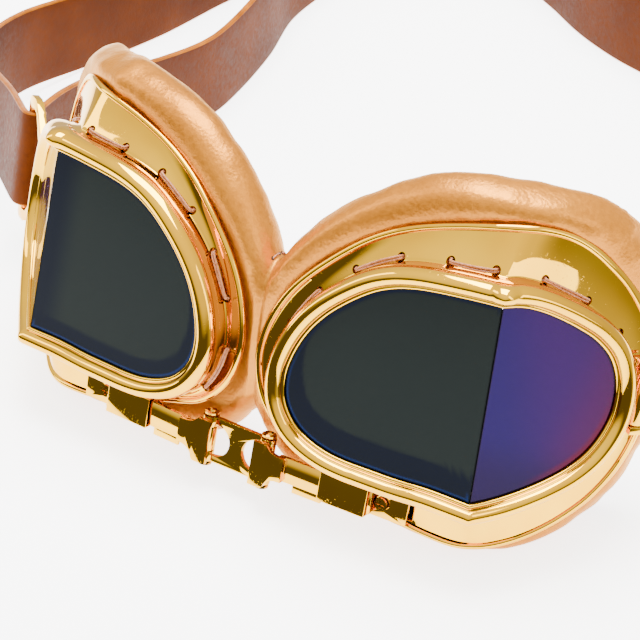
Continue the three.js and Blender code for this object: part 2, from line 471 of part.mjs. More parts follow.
function arm() {
  const A = ARM, Hd = HEAD, mk0 = MID_KNUCKLE[0], mk1 = MID_KNUCKLE[1];
  // sliding strip, in the plane parallel to the front pane
  const strip = paneBlock(A.shoulder - 1.2, A.end, A.neck0, A.neck1, A.n0, A.n1);
  // T-shaped head in front of the pin, with hollow shoulders down to the strip
  const curve = (z0, z1) => Array.from({ length: 6 }, (_, i) => {
    const a = rad(90 * i / 5); return [Hd.x1 + (A.shoulder - Hd.x1) * (1 - Math.cos(a)), z0 + (z1 - z0) * Math.sin(a)];
  });
  const outline = [[Hd.x0, A.top], [Hd.x1 - 0.6, A.top], ...curve(A.top - 0.6, A.neck0), [A.shoulder + 0.5, A.neck0], [A.shoulder + 0.5, A.neck1],
    ...curve(A.bottom + 0.6, A.neck1).reverse(), [Hd.x1 - 0.6, A.bottom], [Hd.x0, A.bottom]];
  let solid = toSolid(plate(outline, [], V(0, 0, 0), V(1, 0, 0), V(0, 0, 1), V(0, 1, 0), Hd.y0, Hd.y1));
  // short joggle between the head and the strip
  const y0 = onPane(A.shoulder, A.n1, 0).y, y1 = onPane(A.shoulder, A.n0, 0).y;
  solid = solid.add(toSolid(box(A.shoulder - 0.9, A.shoulder + 0.5, Hd.y0, y1, A.neck1, A.neck0))).add(toSolid(strip));
  solid = solid.add(toSolid(rod(V(PIN_X, PIN_Y, mk0), V(PIN_X, PIN_Y, mk1), KNUCKLE_R, 20)));
  solid = solid.add(toSolid(box(PIN_X - 1.1, PIN_X + 1.1, Hd.y1 - 0.2, PIN_Y, mk1, mk0)));
  solid = solid.subtract(toSolid(rod(V(PIN_X, PIN_Y, -20), V(PIN_X, PIN_Y, -40), PIN_HOLE, 12)));
  return fromSolid(solid);
}
function hingePin() {
  // hollow rivet: tube with rolled ends
  const pts = [[0.42, -25.2], [0.8, -24.35], [1.25, -24.0], [1.75, -24.3], [1.7, -24.75], [PIN_R, -24.8], [PIN_R, -36.85], [1.7, -36.9], [1.75, -37.35], [1.25, -37.65], [0.8, -37.3], [0.42, -36.4]];
  const g = new THREE.LatheGeometry([...pts, pts[0]].map(([r, z]) => new THREE.Vector2(r, z)), 12);
  g.rotateX(Math.PI / 2);
  const p = g.attributes.position;
  for (let i = 0; i < p.count; i++) p.setXYZ(i, p.getX(i) + PIN_X, -p.getY(i) + PIN_Y, p.getZ(i));
  return plain(g);
}
function paneBlock(x0, x1, z0, z1, n0, n1) {
  const pts = [];
  for (const n of [n0, n1]) for (const [x, z] of [[x0, z0], [x1, z0], [x1, z1], [x0, z1]]) pts.push(onPane(x, n, z));
  return geometryFrom(pts, [[0, 1, 2], [0, 2, 3], [4, 6, 5], [4, 7, 6], [0, 4, 5], [0, 5, 1], [1, 5, 6], [1, 6, 2], [2, 6, 7], [2, 7, 3], [3, 7, 4], [3, 4, 0]]);
}
function basePlate() {
  const B = BASE;
  let g = join(paneBlock(B.x0, B.x1, B.z0, B.z1, B.n0, B.n1), paneBlock(B.tabX, B.tabX1, B.tabZ0, B.tabZ1, B.n0, B.n1));
  return cut(g, rod(onPane(SCREW.x, -2, SCREW.z), onPane(SCREW.x, -8, SCREW.z), SCREW.hole, 14));
}
function keeper() {
  const K = KEEPER, w = K.wall;
  return cut(paneBlock(K.x0, K.x1, K.z0, K.z1, K.n0, K.n1), paneBlock(K.x0 - 1, K.x1 + 1, K.z0 - w, K.z1 + w, K.n0 + w, K.n1 - w));
}
function screw() {
  const S = SCREW, at0 = n => onPane(S.x, n, S.z);
  const g = join(rod(at0(-9.2), at0(-4.6), S.r, 12), rod(at0(-4.98), at0(-4.4), S.head, 20));
  // cross recess
  const c = at0(-4.4), bar = (a, b) => {
    const h = new THREE.BoxGeometry(a, b, 0.7);
    h.applyMatrix4(new THREE.Matrix4().makeBasis(E1, V(0, 0, 1), N1.clone().negate()).setPosition(c));
    return plain(h);
  };
  return cut(g, bar(2.0, 0.5), bar(0.5, 2.0));
}

// ---------------------------------------------------------------- temple loop
const PIN_AT = MID.clone().addScaledVector(E2, LOOP_PIN.w).addScaledVector(N2, LOOP_PIN.n).setZ(LOOP_Z);
const LD = V(Math.cos(rad(LOOP_DIR)), Math.sin(rad(LOOP_DIR)), 0), LT = V(Math.sin(rad(LOOP_DIR)), -Math.cos(rad(LOOP_DIR)), 0);
function strapLoop() {
  const half = [[0.4, 6.2], [3.2, 6.6], [7.6, 9.0], [11.4, 13.6], [13.6, 15.7], [15.4, 16.4], [19.2, 16.4], [20.3, 15.3]];
  const outline = [...half, ...half.slice().reverse().map(([x, z]) => [x, -z])];
  const hh = [[4.0, 3.2], [8.6, 6.2], [12.6, 11.6], [14.4, 13.4], [17.5, 13.7]];
  const hole = [...hh, ...hh.slice().reverse().map(([x, z]) => [x, -z])];
  const g = plate(outline, [hole], PIN_AT, LD, V(0, 0, 1), LT, -LOOP_T / 2, LOOP_T / 2);
  const a = PIN_AT.clone().add(V(0, 0, 6.2)), b = PIN_AT.clone().add(V(0, 0, -6.2));
  return cut(join(g, rod(a, b, 1.75, 18)), rod(a.clone().add(V(0, 0, 2)), b.clone().add(V(0, 0, -2)), PIN_HOLE, 12));
}
function loopPin() {
  const a = PIN_AT.clone().add(V(0, 0, 9.1)), b = PIN_AT.clone().add(V(0, 0, -8.6));
  return join(rod(a, b, PIN_R, 14), rod(PIN_AT.clone().add(V(0, 0, 8.75)), PIN_AT.clone().add(V(0, 0, 9.6)), 1.5, 16));
}
function sideBlock(w0, w1, z0, z1, n0, n1) {
  const pts = [], O = MID.clone().setZ(LOOP_Z), H = V(E2.x, E2.y, 0).normalize(), N = V(N2.x, N2.y, 0).normalize();
  for (const n of [n0, n1]) for (const [w, z] of [[w0, z0], [w1, z0], [w1, z1], [w0, z1]]) pts.push(O.clone().addScaledVector(H, w).addScaledVector(N, n).add(V(0, 0, z)));
  return geometryFrom(pts, [[0, 1, 2], [0, 2, 3], [4, 6, 5], [4, 7, 6], [0, 4, 5], [0, 5, 1], [1, 5, 6], [1, 6, 2], [2, 6, 7], [2, 7, 3], [3, 7, 4], [3, 4, 0]]);
}
function loopBracket() {
  const w = LOOP_PIN.w, n = LOOP_PIN.n;
  let g = join(sideBlock(w - 2.1, w + 3.2, -8.4, 8.4, -5.0, -4.2), sideBlock(w - 1.7, w + 1.7, 6.6, 8.4, -4.7, n + 1.7), sideBlock(w - 1.7, w + 1.7, -8.4, -6.6, -4.7, n + 1.7));
  return cut(g, rod(PIN_AT.clone().add(V(0, 0, 12)), PIN_AT.clone().add(V(0, 0, -12)), PIN_HOLE, 12));
}

// ---------------------------------------------------------------- leaned frame and the strap's route
const leanQ = new THREE.Quaternion().setFromAxisAngle(V(1, 0, 0), -rad(LEAN));
const lean = p => p.clone().applyQuaternion(leanQ).add(V(0, 0, LIFT));
const leanUp = V(0, 0, 1).applyQuaternion(leanQ);
// point beside the strap bar: r from the pin, t across the loop, mirrored for the wearer's right
const barPoint = (sgn, r, t) => {
  const p = PIN_AT.clone().addScaledVector(LD, r).addScaledVector(LT, t);
  return lean(V(sgn * p.x, p.y, p.z));
};
const H = STRAP_W / 2 + 0.05;
// free runs of the strap's middle line, standing on edge on the surface
const RUN_LEFT = [[111, 60, 27.1], [119, 82, 20.6], [120, 108, 15.3], [112, 135, H], [94, 163, H], [66, 187, H], [34, 203, H], [6, 215, H]];
const RUN_BACK = [[-12, 221.5, H], [-28, 230, H], [-42, 240, H], [-57, 248.5, H], [-76, 252, H]];
const BUCKLE_A = V(-94, 245.5, H), BUCKLE_B = V(-122, 217.5, H);   // straight stretch for the sliding buckle
const RUN_OUTER = [[-129.5, 205.5, H], [-134.5, 187, H], [-139, 160, H], [-146, 132, 13.2], [-150.5, 106, 16.2], [-145, 84, 20.4], [-130, 65.5, 25.1], [-113, 52.5, 29.05]];
const RUN_INNER = [[-99, 57.5, 29.4], [-101.5, 78, 24.1], [-100, 104, 16.8], [-98.8, 130, H], [-103, 163, H], [-110, 190, H]];
function bandPoints() {
  const pts = [];
  const push = (v, up, hard = false) => pts.push({ v: v.clone(), up: up.clone().normalize(), hard });
  const blendUp = z => { const t = THREE.MathUtils.clamp((z - H) / (30 - H), 0, 1); return V(0, 0, 1).lerp(leanUp, t); };
  // curve through the free points, tangent to what comes before and after
  const run = (list, n) => {
    const c = new THREE.CatmullRomCurve3(list, false, 'centripetal');
    c.arcLengthDivisions = 400;
    for (let i = 1; i < n; i++) { const v = c.getPointAt(i / n); push(v, blendUp(v.z)); }
  };
  const L = a => a.map(p => V(...p));
  // left temple (+X): fixed end, folded back on itself
  for (const [r, t] of [[34.5, -1.05], [30, -1.05], [26.5, -1.1], [23.5, -1.6], [20.9, -2.35]]) push(barPoint(1, r, t), leanUp);
  for (const a of [30, 60, 90, 120, 150]) push(barPoint(1, BAR_R - 2.85 * Math.sin(rad(a)), -2.35 * Math.cos(rad(a))), leanUp);
  for (const [r, t] of [[20.9, 2.35], [23.5, 1.6], [26.5, 1.1], [30, 1.05], [34.5, 1.05]]) push(barPoint(1, r, t), leanUp);
  run([barPoint(1, 34.5, 1.05), ...L(RUN_LEFT), ...L(RUN_BACK), BUCKLE_A], 44);
  push(BUCKLE_A, V(0, 0, 1)); push(BUCKLE_B, V(0, 0, 1));
  run([BUCKLE_B, ...L(RUN_OUTER), barPoint(-1, 21.2, 2.3)], 26);
  push(barPoint(-1, 21.2, 2.3), leanUp);
  for (const a of [150, 120, 90, 60, 30]) push(barPoint(-1, BAR_R - 2.85 * Math.sin(rad(a)), -2.35 * Math.cos(rad(a))), leanUp);
  push(barPoint(-1, 21.2, -2.3), leanUp);
  const side = V(BUCKLE_A.x - BUCKLE_B.x, BUCKLE_A.y - BUCKLE_B.y, 0).normalize(), inn = V(side.y, -side.x, 0);
  const endA = BUCKLE_B.clone().addScaledVector(side, 13.2).addScaledVector(inn, 4.1), endB = BUCKLE_B.clone().addScaledVector(side, 26.4).addScaledVector(inn, 4.1);
  run([barPoint(-1, 21.2, -2.3), ...L(RUN_INNER), endA], 26);
  push(endA, V(0, 0, 1)); push(endB, V(0, 0, 1));
  return { pts, endA, endB, side, inn };
}
const BAND = bandPoints();
function strapSolid() {
  const P = BAND.pts, secs = [];
  for (let i = 0; i < P.length; i++) {
    const a = P[Math.max(0, i - 1)].v, b = P[i].v, c = P[Math.min(P.length - 1, i + 1)].v;
    const d0 = b.clone().sub(a).normalize(), d1 = c.clone().sub(b).normalize();
    const t = i === 0 ? d1 : i === P.length - 1 ? d0 : d0.clone().add(d1).normalize();
    const up = P[i].up.clone().addScaledVector(t, -P[i].up.dot(t)).normalize();
    const nrm = t.clone().cross(up).normalize();
    const k = i === 0 || i === P.length - 1 ? 1 : 1 / Math.max(0.75, d0.dot(t));
    const h = STRAP_W / 2, w = STRAP_T / 2 * k;
    secs.push([b.clone().addScaledVector(up, h).addScaledVector(nrm, w), b.clone().addScaledVector(up, h).addScaledVector(nrm, -w),
      b.clone().addScaledVector(up, -h).addScaledVector(nrm, -w), b.clone().addScaledVector(up, -h).addScaledVector(nrm, w)]);
  }
  const tools = [];
  for (const z of [-7, 7]) {
    const c = barPoint(1, 31, 0).addScaledVector(leanUp, z), t = barPoint(1, 31, 6).sub(barPoint(1, 31, 0)).normalize();
    tools.push(rod(c.clone().addScaledVector(t, 4), c.clone().addScaledVector(t, -4), 1.15, 12));
    const e = BAND.endA.clone().lerp(BAND.endB, 0.5).add(V(0, 0, z));
    tools.push(rod(e.clone().addScaledVector(BAND.inn, -1.6), e.clone().addScaledVector(BAND.inn, 3), 1.15, 12));
  }
  return cut(loft(secs), box(-400, 400, -400, 400, -40, 0.0), ...tools);
}
function strapRivet(z) {
  const c = barPoint(1, 31, 0).addScaledVector(leanUp, z), t = barPoint(1, 31, 6).sub(barPoint(1, 31, 0)).normalize();
  const p = d => c.clone().addScaledVector(t, d);
  return join(rod(p(-3.0), p(3.0), 0.8, 12), rod(p(2.3), p(3.1), 2.4, 18), rod(p(-3.1), p(-2.3), 2.4, 18));
}
function buckle() {
  // flat sleeve round the strap, with two studs that hold the strap's end
  const c = BUCKLE_A.clone().lerp(BUCKLE_B, 0.5), s = BAND.side, n = BAND.inn;
  const blk = (a0, a1, b0, b1, z0, z1) => {
    const pts = [];
    for (const b of [b0, b1]) for (const [a, z] of [[a0, z0], [a1, z0], [a1, z1], [a0, z1]]) pts.push(c.clone().addScaledVector(s, a).addScaledVector(n, b).add(V(0, 0, z)));
    return geometryFrom(pts, [[0, 1, 2], [0, 2, 3], [4, 6, 5], [4, 7, 6], [0, 4, 5], [0, 5, 1], [1, 5, 6], [1, 6, 2], [2, 6, 7], [2, 7, 3], [3, 7, 4], [3, 4, 0]]);
  };
  const zt = STRAP_W / 2 + 2.1, zb = -STRAP_W / 2 - 0.0;
  let g = cut(blk(-7, 7, -2.5, 2.5, -STRAP_W / 2 - 0.05, zt), blk(-8, 8, -1.35, 1.35, -STRAP_W / 2 - 1, STRAP_W / 2 + 0.5));
  for (const z of [-7, 7]) {
    const p = d => c.clone().addScaledVector(n, d).add(V(0, 0, z));
    g = join(g, rod(p(2.0), p(5.6), 0.8, 12), rod(p(5.35), p(6.2), 2.2, 18));
  }
  return g;
}

// ---------------------------------------------------------------- assembly
const mirrorX = g => {
  const h = g.clone(), p = h.attributes.position;
  for (let i = 0; i < p.count; i++) p.setX(i, -p.getX(i));
  if (!h.index) return mirrorX(mergeVertices(g));
  h.setIndex(new THREE.BufferAttribute(new Uint32Array(h.index.array), 1));
  flip(h);
  return h;
};
const goggles = new THREE.Group();
const faceFrame = new THREE.Group();       // upright drawing frame, leaned back as one
faceFrame.quaternion.copy(leanQ);
faceFrame.position.set(X_SHIFT, Y_SHIFT, LIFT);
const surfaceFrame = new THREE.Group();
surfaceFrame.position.set(X_SHIFT, Y_SHIFT, 0);
goggles.add(faceFrame, surfaceFrame);
function piece(group, name, geometry, material) {
  const mesh = new THREE.Mesh(geometry, material());
  mesh.name = name;
  group.add(mesh);
}
// surface that the goggles stand on, in the face frame: everything below it is shaved off
function shave(g) {
  const inv = leanQ.clone().invert(), down = V(0, 0, -20 - LIFT).applyQuaternion(inv);
  const c = new THREE.BoxGeometry(400, 400, 40);
  c.applyQuaternion(inv);
  c.translate(down.x, down.y, down.z);
  return cut(g, c);
}
const maskRing = ring(OPEN.list.map(maskSection));
const outerBlock = box(NOSE_HALF + NOSE_GAP, 200, -100, 100, -100, 100);
const masks = shave(common(maskRing, outerBlock));
const noseBlock = box(-NOSE_HALF, NOSE_HALF, -100, 100, -100, 100);
const nose = shave(fromSolid(toSolid(maskRing).add(toSolid(mirrorX(maskRing))).intersect(toSolid(noseBlock))));
const padBlock = box(NOSE_HALF + 1.2, 200, -100, 100, -100, 100);
const side = {
  frame: [frameSolid(), gold], rim: [ring(OPEN.list.map(rimSection)), gold], front_pane: [paneSolid('front'), glassFront],
  side_pane: [paneSolid('side'), glassSide], pane_bar: [paneBar(), rubber], gasket: [ring(OPEN.list.map(gasketSection)), rubber],
  mask: [masks, leather], face_pad: [shave(common(ring(OPEN.list.map(padSection)), padBlock)), lining], lace: [laceSolid(), thread],
  base_plate: [basePlate(), gold], keeper: [keeper(), gold], clamp_screw: [screw(), goldDark], arm: [arm(), gold],
  hinge_pin: [hingePin(), goldDark], loop_bracket: [loopBracket(), gold], loop_pin: [loopPin(), goldDark], strap_loop: [strapLoop(), gold],
};
for (const [name, [g, m]] of Object.entries(side)) {
  piece(faceFrame, 'left_' + name, g, m);
  piece(faceFrame, 'right_' + name, mirrorX(g), m);
}
piece(faceFrame, 'bridge_link', link(), gold);
piece(faceFrame, 'nose_leather', nose, leather);
piece(surfaceFrame, 'strap', strapSolid(), strapLeather);
piece(surfaceFrame, 'strap_buckle', buckle(), gold);
piece(surfaceFrame, 'strap_rivet_upper', strapRivet(7), goldDark);
piece(surfaceFrame, 'strap_rivet_lower', strapRivet(-7), goldDark);

export default goggles;
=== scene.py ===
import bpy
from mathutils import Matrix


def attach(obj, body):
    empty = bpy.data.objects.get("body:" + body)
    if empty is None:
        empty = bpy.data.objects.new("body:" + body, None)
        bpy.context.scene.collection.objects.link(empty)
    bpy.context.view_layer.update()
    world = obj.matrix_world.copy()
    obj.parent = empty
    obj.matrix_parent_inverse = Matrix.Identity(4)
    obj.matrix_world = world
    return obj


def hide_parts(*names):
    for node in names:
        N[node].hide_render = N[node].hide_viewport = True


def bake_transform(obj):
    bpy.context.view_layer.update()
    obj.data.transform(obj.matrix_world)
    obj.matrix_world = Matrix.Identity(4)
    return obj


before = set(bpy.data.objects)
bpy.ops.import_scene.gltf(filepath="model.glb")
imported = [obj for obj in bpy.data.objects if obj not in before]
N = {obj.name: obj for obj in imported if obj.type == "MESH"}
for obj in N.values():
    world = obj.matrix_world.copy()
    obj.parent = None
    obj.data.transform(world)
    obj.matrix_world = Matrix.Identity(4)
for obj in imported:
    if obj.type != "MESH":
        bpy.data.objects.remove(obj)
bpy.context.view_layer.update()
# Split-lens motorcycle goggles: the visual model. Lengths in millimetres, turned into metres by W() and S().
import math
import bpy
import bmesh
import numpy as np
from mathutils import Matrix, Vector, noise
from mathutils.bvhtree import BVHTree

# ------------------------------------------------------------------ dimensions
LEAN, LIFT, XS, YS = 18.0, 42.2, 14.94, -120.74
PANE_YAW, SIDE_YAW, CENTRE_X = 3.17, 50.43, 50.0
FRONT_EDGE = [
    [7.61, 24.39], [2.35, 24.01], [-1.43, 23.64], [-5.5, 23.2], [-9.31, 22.69], [-12.38, 22.09],
    [-15.98, 21.04], [-19.42, 19.51], [-22.11, 17.84], [-25.17, 15.46], [-28.16, 12.77], [-30.61, 10.2],
    [-33.33, 6.6], [-35.61, 2.38], [-37.28, -2.41], [-37.99, -6.78], [-37.28, -12.04], [-34.33, -16.44],
    [-30.56, -18.94], [-25.46, -20.58], [-20.5, -21.1], [-16.78, -21.09], [-12.85, -21.05], [-9.25, -21.0],
    [-6.36, -20.84], [-2.9, -20.58], [0.79, -20.43], [4.3, -20.45], [9.42, -20.55]]
SIDE_EDGE = [
    [0, 22.47], [4.54, 22.52], [9.06, 21.57], [13.54, 19.95], [18.18, 17.83], [23.09, 15.02],
    [27.38, 10.87], [29.89, 5.41], [30.35, -0.6], [29.32, -5.3], [26.43, -10.49], [22.19, -14.43],
    [17.47, -17.13], [12.95, -19.07], [8.64, -20.56], [4.37, -21.69], [0, -22.47]]
FLANGE_W = [15.0, 13.8, 12.3, 10.9, 10.2, 10.3, 9.9, 8.2, 7.4, 9.6, 14.4, 15.4, 16.2, 16.4, 15.0, 12.6, 11, 12.8, 15.0, 16.6]
FLANGE_D = [8.5, 9.2, 8, 6.4, 5.4, 4.7, 4.4, 5.2, 7.5, 7.6, 7.8, 8.2, 8.1, 7.4, 6.6, 6.2, 6.2, 6.2, 6.6, 7.6]
GROOVE_D = [5, 5, 5, 5, 5, 5, 5, 5.3, 6.5, 6.5, 6.2, 5.2, 5, 5, 5, 5, 5, 5, 5, 5]
BULGE = [6.8, 9.4, 11.4, 10.4, 9.6, 9.6, 9.6, 15.5, 13, 6, 3.2, 2.6, 3.0, 4.4, 5.4, 4.8, 5.4, 10.6, 11.6, 7.4]
BULGE_BACK = [9, 8, 6.5, 6, 7, 9, 10, 10, 9, 8, 7, 7, 7, 7, 8, 9, 9, 9, 9, 9]
SET_BACK = [0, 0, 0, 0, 0, 0, 1.2, 4.6, 2.2, 0, 0, 0, 0, 0, 0, 0, 0, 0, 0, 0]
WALL_IN, WALL_OUT, FLANGE_T = 3.3, 4.2, 0.9
SEAT_IN = -1.4
PANE_FRONT, PANE_BACK, PANE_OVER = -0.4, -2.4, 2.9
MASK_GAP = 2.9
NOSE_HALF = 8.75
PAD_R = 2.3
HOLE_S = [0.848, 0.895, 0.95, 0.018, 0.073, 0.123, 0.171, 0.218, 0.264, 0.312, 0.355, 0.4]
HOLE_Q, HOLE_R = 5.6, 1.0
LOOP_Z, LOOP_PIN_W, LOOP_PIN_N, LOOP_DIR, BAR_R = 3.5, 38.0, -2.4, 36.87, 18.9
STRAP_W, STRAP_T = 25.0, 1.8

# ------------------------------------------------------------------ helpers
rad = math.radians
CL, SL = math.cos(rad(LEAN)), math.sin(rad(LEAN))
A3 = lambda *v: np.array(v, float)
unit = lambda v: v / np.linalg.norm(v)


def W(P, sgn=1):
    """face frame, millimetres, to the row frame, metres"""
    P = np.asarray(P, float)
    x, y, z = P[..., 0] * sgn, P[..., 1], P[..., 2]
    return np.stack([x + XS, y * CL + z * SL + YS, -y * SL + z * CL + LIFT], -1) * 0.001


def D(v, sgn=1):
    x, y, z = v
    return A3(sgn * x, y * CL + z * SL, -y * SL + z * CL)


def S(P):
    """surface frame, millimetres, to the row frame, metres"""
    P = np.asarray(P, float)
    return (P + A3(XS, YS, 0)) * 0.001


def lerp(a, b, t):
    t = min(1, max(0, t))
    return tuple(x * (1 - t) + y * t for x, y in zip(a, b))


def smooth(a, b, x):
    t = min(1, max(0, (x - a) / (b - a)))
    return t * t * (3 - 2 * t)


def look(table, s):
    n = len(table)
    x = (s % 1.0) * n
    i = int(math.floor(x))
    t = x - i
    y = lambda k: table[k % n]
    m0, m1, t2, t3 = (y(i + 1) - y(i - 1)) / 2, (y(i + 2) - y(i)) / 2, t * t, t * t * t
    return (2 * t3 - 3 * t2 + 1) * y(i) + (t3 - 2 * t2 + t) * m0 + (-2 * t3 + 3 * t2) * y(i + 1) + (t3 - t2) * m1


def catmull(points, per=40, closed=False):
    """centripetal Catmull-Rom through the points, densely sampled"""
    P = [A3(*p) for p in points]
    n = len(P)
    out = []
    for i in range(n if closed else n - 1):
        p1, p2 = P[i], P[(i + 1) % n]
        p0 = P[(i - 1) % n] if closed or i > 0 else 2 * P[0] - P[1]
        p3 = P[(i + 2) % n] if closed or i < n - 2 else 2 * P[-1] - P[-2]
        d0, d1, d2 = [max(1e-4, np.linalg.norm(b - a) ** 0.5) for a, b in ((p0, p1), (p1, p2), (p2, p3))]
        t1 = ((p1 - p0) / d0 - (p2 - p0) / (d0 + d1) + (p2 - p1) / d1) * d1
        t2 = ((p2 - p1) / d1 - (p3 - p1) / (d1 + d2) + (p3 - p2) / d2) * d1
        for k in range(per):
            t = k / per
            out.append(p1 + t1 * t + (-3 * p1 + 3 * p2 - 2 * t1 - t2) * t * t + (2 * p1 - 2 * p2 + t1 + t2) * t ** 3)
    if not closed:
        out.append(P[-1])
    return np.array(out)


def resample(poly, fractions):
    seg = np.linalg.norm(np.diff(poly, axis=0), axis=1)
    c = np.concatenate([[0], np.cumsum(seg)])
    at = np.asarray(fractions) * c[-1]
    pts = np.stack([np.interp(at, c, poly[:, k]) for k in range(3)], -1)
    eps = 0.02
    a = np.stack([np.interp(np.clip(at - eps, 0, c[-1]), c, poly[:, k]) for k in range(3)], -1)
    b = np.stack([np.interp(np.clip(at + eps, 0, c[-1]), c, poly[:, k]) for k in range(3)], -1)
    t = b - a
    return pts, t / np.linalg.norm(t, axis=1, keepdims=True), c[-1]


def mesh_object(name, verts, faces, mats, smooth=True, index=None, sharp=None):
    me = bpy.data.meshes.new(name)
    me.from_pydata([tuple(v) for v in verts], [], [tuple(int(i) for i in f) for f in faces])
    me.validate()
    for m in mats:
        me.materials.append(m)
    if index is not None:
        me.polygons.foreach_set("material_index", np.asarray(index, np.int32))
    me.polygons.foreach_set("use_smooth", [smooth] * len(me.polygons))
    o = bpy.data.objects.new(name, me)
    bpy.context.scene.collection.objects.link(o)
    if sharp is not None:
        me.set_sharp_from_angle(angle=rad(sharp))
    me.update()
    return o


def outward(o):
    bm = bmesh.new()
    bm.from_mesh(o.data)
    bmesh.ops.recalc_face_normals(bm, faces=bm.faces)
    bm.to_mesh(o.data)
    bm.free()
    return o


def grid_faces(n, m, wrap_n, wrap_m):
    f = []
    for i in range(n if wrap_n else n - 1):
        for j in range(m if wrap_m else m - 1):
            f.append((i * m + j, i * m + (j + 1) % m, ((i + 1) % n) * m + (j + 1) % m, ((i + 1) % n) * m + j))
    return f


def apply_modifiers(o):
    dg = bpy.context.evaluated_depsgraph_get()
    me = bpy.data.meshes.new_from_object(o.evaluated_get(dg), preserve_all_data_layers=True, depsgraph=dg)
    old = o.data
    o.modifiers.clear()
    o.data = me
    bpy.data.meshes.remove(old)
    return o


def coords(me):
    a = np.empty(len(me.vertices) * 3)
    me.vertices.foreach_get("co", a)
    return a.reshape(-1, 3)


# ------------------------------------------------------------------ materials
def new_mat(name):
    m = bpy.data.materials.new(name)
    m.use_nodes = True
    nt = m.node_tree
    nt.nodes.clear()
    out = nt.nodes.new("ShaderNodeOutputMaterial")
    b = nt.nodes.new("ShaderNodeBsdfPrincipled")
    nt.links.new(b.outputs[0], out.inputs[0])
    return m, nt, b


def node(nt, kind, **inputs):
    n = nt.nodes.new(kind)
    for k, v in inputs.items():
        key = k.replace("_", " ")
        if key in n.inputs:
            n.inputs[key].default_value = v
        else:
            setattr(n, k, v)
    return n


def where(nt):
    return nt.nodes.new("ShaderNodeTexCoord").outputs["Object"]


def noise_tex(nt, vec, scale, detail=4.0, rough=0.5, distortion=0.0):
    n = node(nt, "ShaderNodeTexNoise", Scale=scale, Detail=detail, Roughness=rough, Distortion=distortion)
    nt.links.new(vec, n.inputs["Vector"])
    return n.outputs["Fac"]


def ramp(nt, fac, stops):
    r = nt.nodes.new("ShaderNodeValToRGB")
    e = r.color_ramp.elements
    while len(e) < len(stops):
        e.new(0.5)
    for k, (p, c) in enumerate(stops):
        e[k].position = p
        e[k].color = (*c, 1) if len(c) == 3 else c
    nt.links.new(fac, r.inputs[0])
    return r.outputs[0]


def grey(nt, fac, p0, v0, p1, v1):
    return ramp(nt, fac, [(p0, (v0, v0, v0)), (p1, (v1, v1, v1))])


def bump(nt, height, strength, distance, normal=None):
    b = node(nt, "ShaderNodeBump", Strength=strength, Distance=distance)
    nt.links.new(height, b.inputs["Height"])
    if normal is not None:
        nt.links.new(normal, b.inputs["Normal"])
    return b.outputs[0]


def gold_material(name, light, dark, rough0, rough1, wave=0.06, wave_mm=0.05):
    m, nt, b = new_mat(name)
    v = where(nt)
    tint = noise_tex(nt, v, 55, 3)
    nt.links.new(ramp(nt, tint, [(0.35, dark), (0.65, light)]), b.inputs["Base Color"])
    b.inputs["Metallic"].default_value = 1.0
    nt.links.new(grey(nt, noise_tex(nt, v, 260, 5, 0.6), 0.35, rough0, 0.7, rough1), b.inputs["Roughness"])
    # stamped metal is never quite flat: the polish leans its faces a few degrees up
    geo = nt.nodes.new("ShaderNodeNewGeometry")
    lean = nt.nodes.new("ShaderNodeVectorMath")
    lean.operation = "ADD"
    lean.inputs[1].default_value = (0.0, 0.0, 0.17)
    nt.links.new(geo.outputs["Normal"], lean.inputs[0])
    unit_n = nt.nodes.new("ShaderNodeVectorMath")
    unit_n.operation = "NORMALIZE"
    nt.links.new(lean.outputs[0], unit_n.inputs[0])
    swell = bump(nt, noise_tex(nt, v, 120, 2, 0.4), wave, wave_mm * 0.001, unit_n.outputs[0])
    pits = bump(nt, grey(nt, noise_tex(nt, v, 1500, 2, 0.5), 0.66, 0.0, 0.72, 1.0), 0.12, 0.00003, swell)
    nt.links.new(pits, b.inputs["Normal"])
    return m


GOLD = gold_material("gold_plate", (0.74, 0.400, 0.010), (0.68, 0.340, 0.006), 0.02, 0.05)
GOLD_DARK = gold_material("fastener_gold", (0.62, 0.345, 0.02), (0.48, 0.245, 0.012), 0.06, 0.15, 0.2)


def leather_material():
    m, nt, b = new_mat("mask_leather")
    v = where(nt)
    broad = noise_tex(nt, v, 30, 4, 0.5)
    fine = noise_tex(nt, v, 900, 3, 0.6)
    base = ramp(nt, broad, [(0.3, (0.38, 0.124, 0.005)), (0.55, (0.46, 0.159, 0.008)), (0.75, (0.53, 0.195, 0.012))])
    mix = node(nt, "ShaderNodeMix", data_type="RGBA", blend_type="MULTIPLY")
    mix.inputs["Factor"].default_value = 0.5
    nt.links.new(base, mix.inputs[6])
    nt.links.new(ramp(nt, fine, [(0.3, (0.72, 0.66, 0.62)), (0.62, (1.0, 1.0, 1.0))]), mix.inputs[7])
    nt.links.new(mix.outputs[2], b.inputs["Base Color"])
    b.inputs["Metallic"].default_value = 0.6
    nt.links.new(grey(nt, fine, 0.3, 0.29, 0.75, 0.42), b.inputs["Roughness"])
    b.inputs["Specular IOR Level"].default_value = 0.6
    b.inputs["Specular Tint"].default_value = (1.0, 0.74, 0.3, 1)
    cells = node(nt, "ShaderNodeTexVoronoi", Scale=1150.0, Randomness=1.0)
    warp = nt.nodes.new("ShaderNodeVectorMath")
    warp.operation = "MULTIPLY_ADD"
    col = node(nt, "ShaderNodeTexNoise", Scale=300.0, Detail=2.0)
    nt.links.new(v, col.inputs["Vector"])
    nt.links.new(col.outputs["Color"], warp.inputs[0])
    warp.inputs[1].default_value = (0.0016, 0.0016, 0.0016)
    nt.links.new(v, warp.inputs[2])
    nt.links.new(warp.outputs[0], cells.inputs["Vector"])
    grain = bump(nt, cells.outputs["Distance"], 0.36, 0.00014)
    crease = noise_tex(nt, v, 240, 5, 0.65, 0.8)
    wr = bump(nt, crease, 0.13, 0.00018, grain)
    nt.links.new(wr, b.inputs["Normal"])
    return m


LEATHER = leather_material()


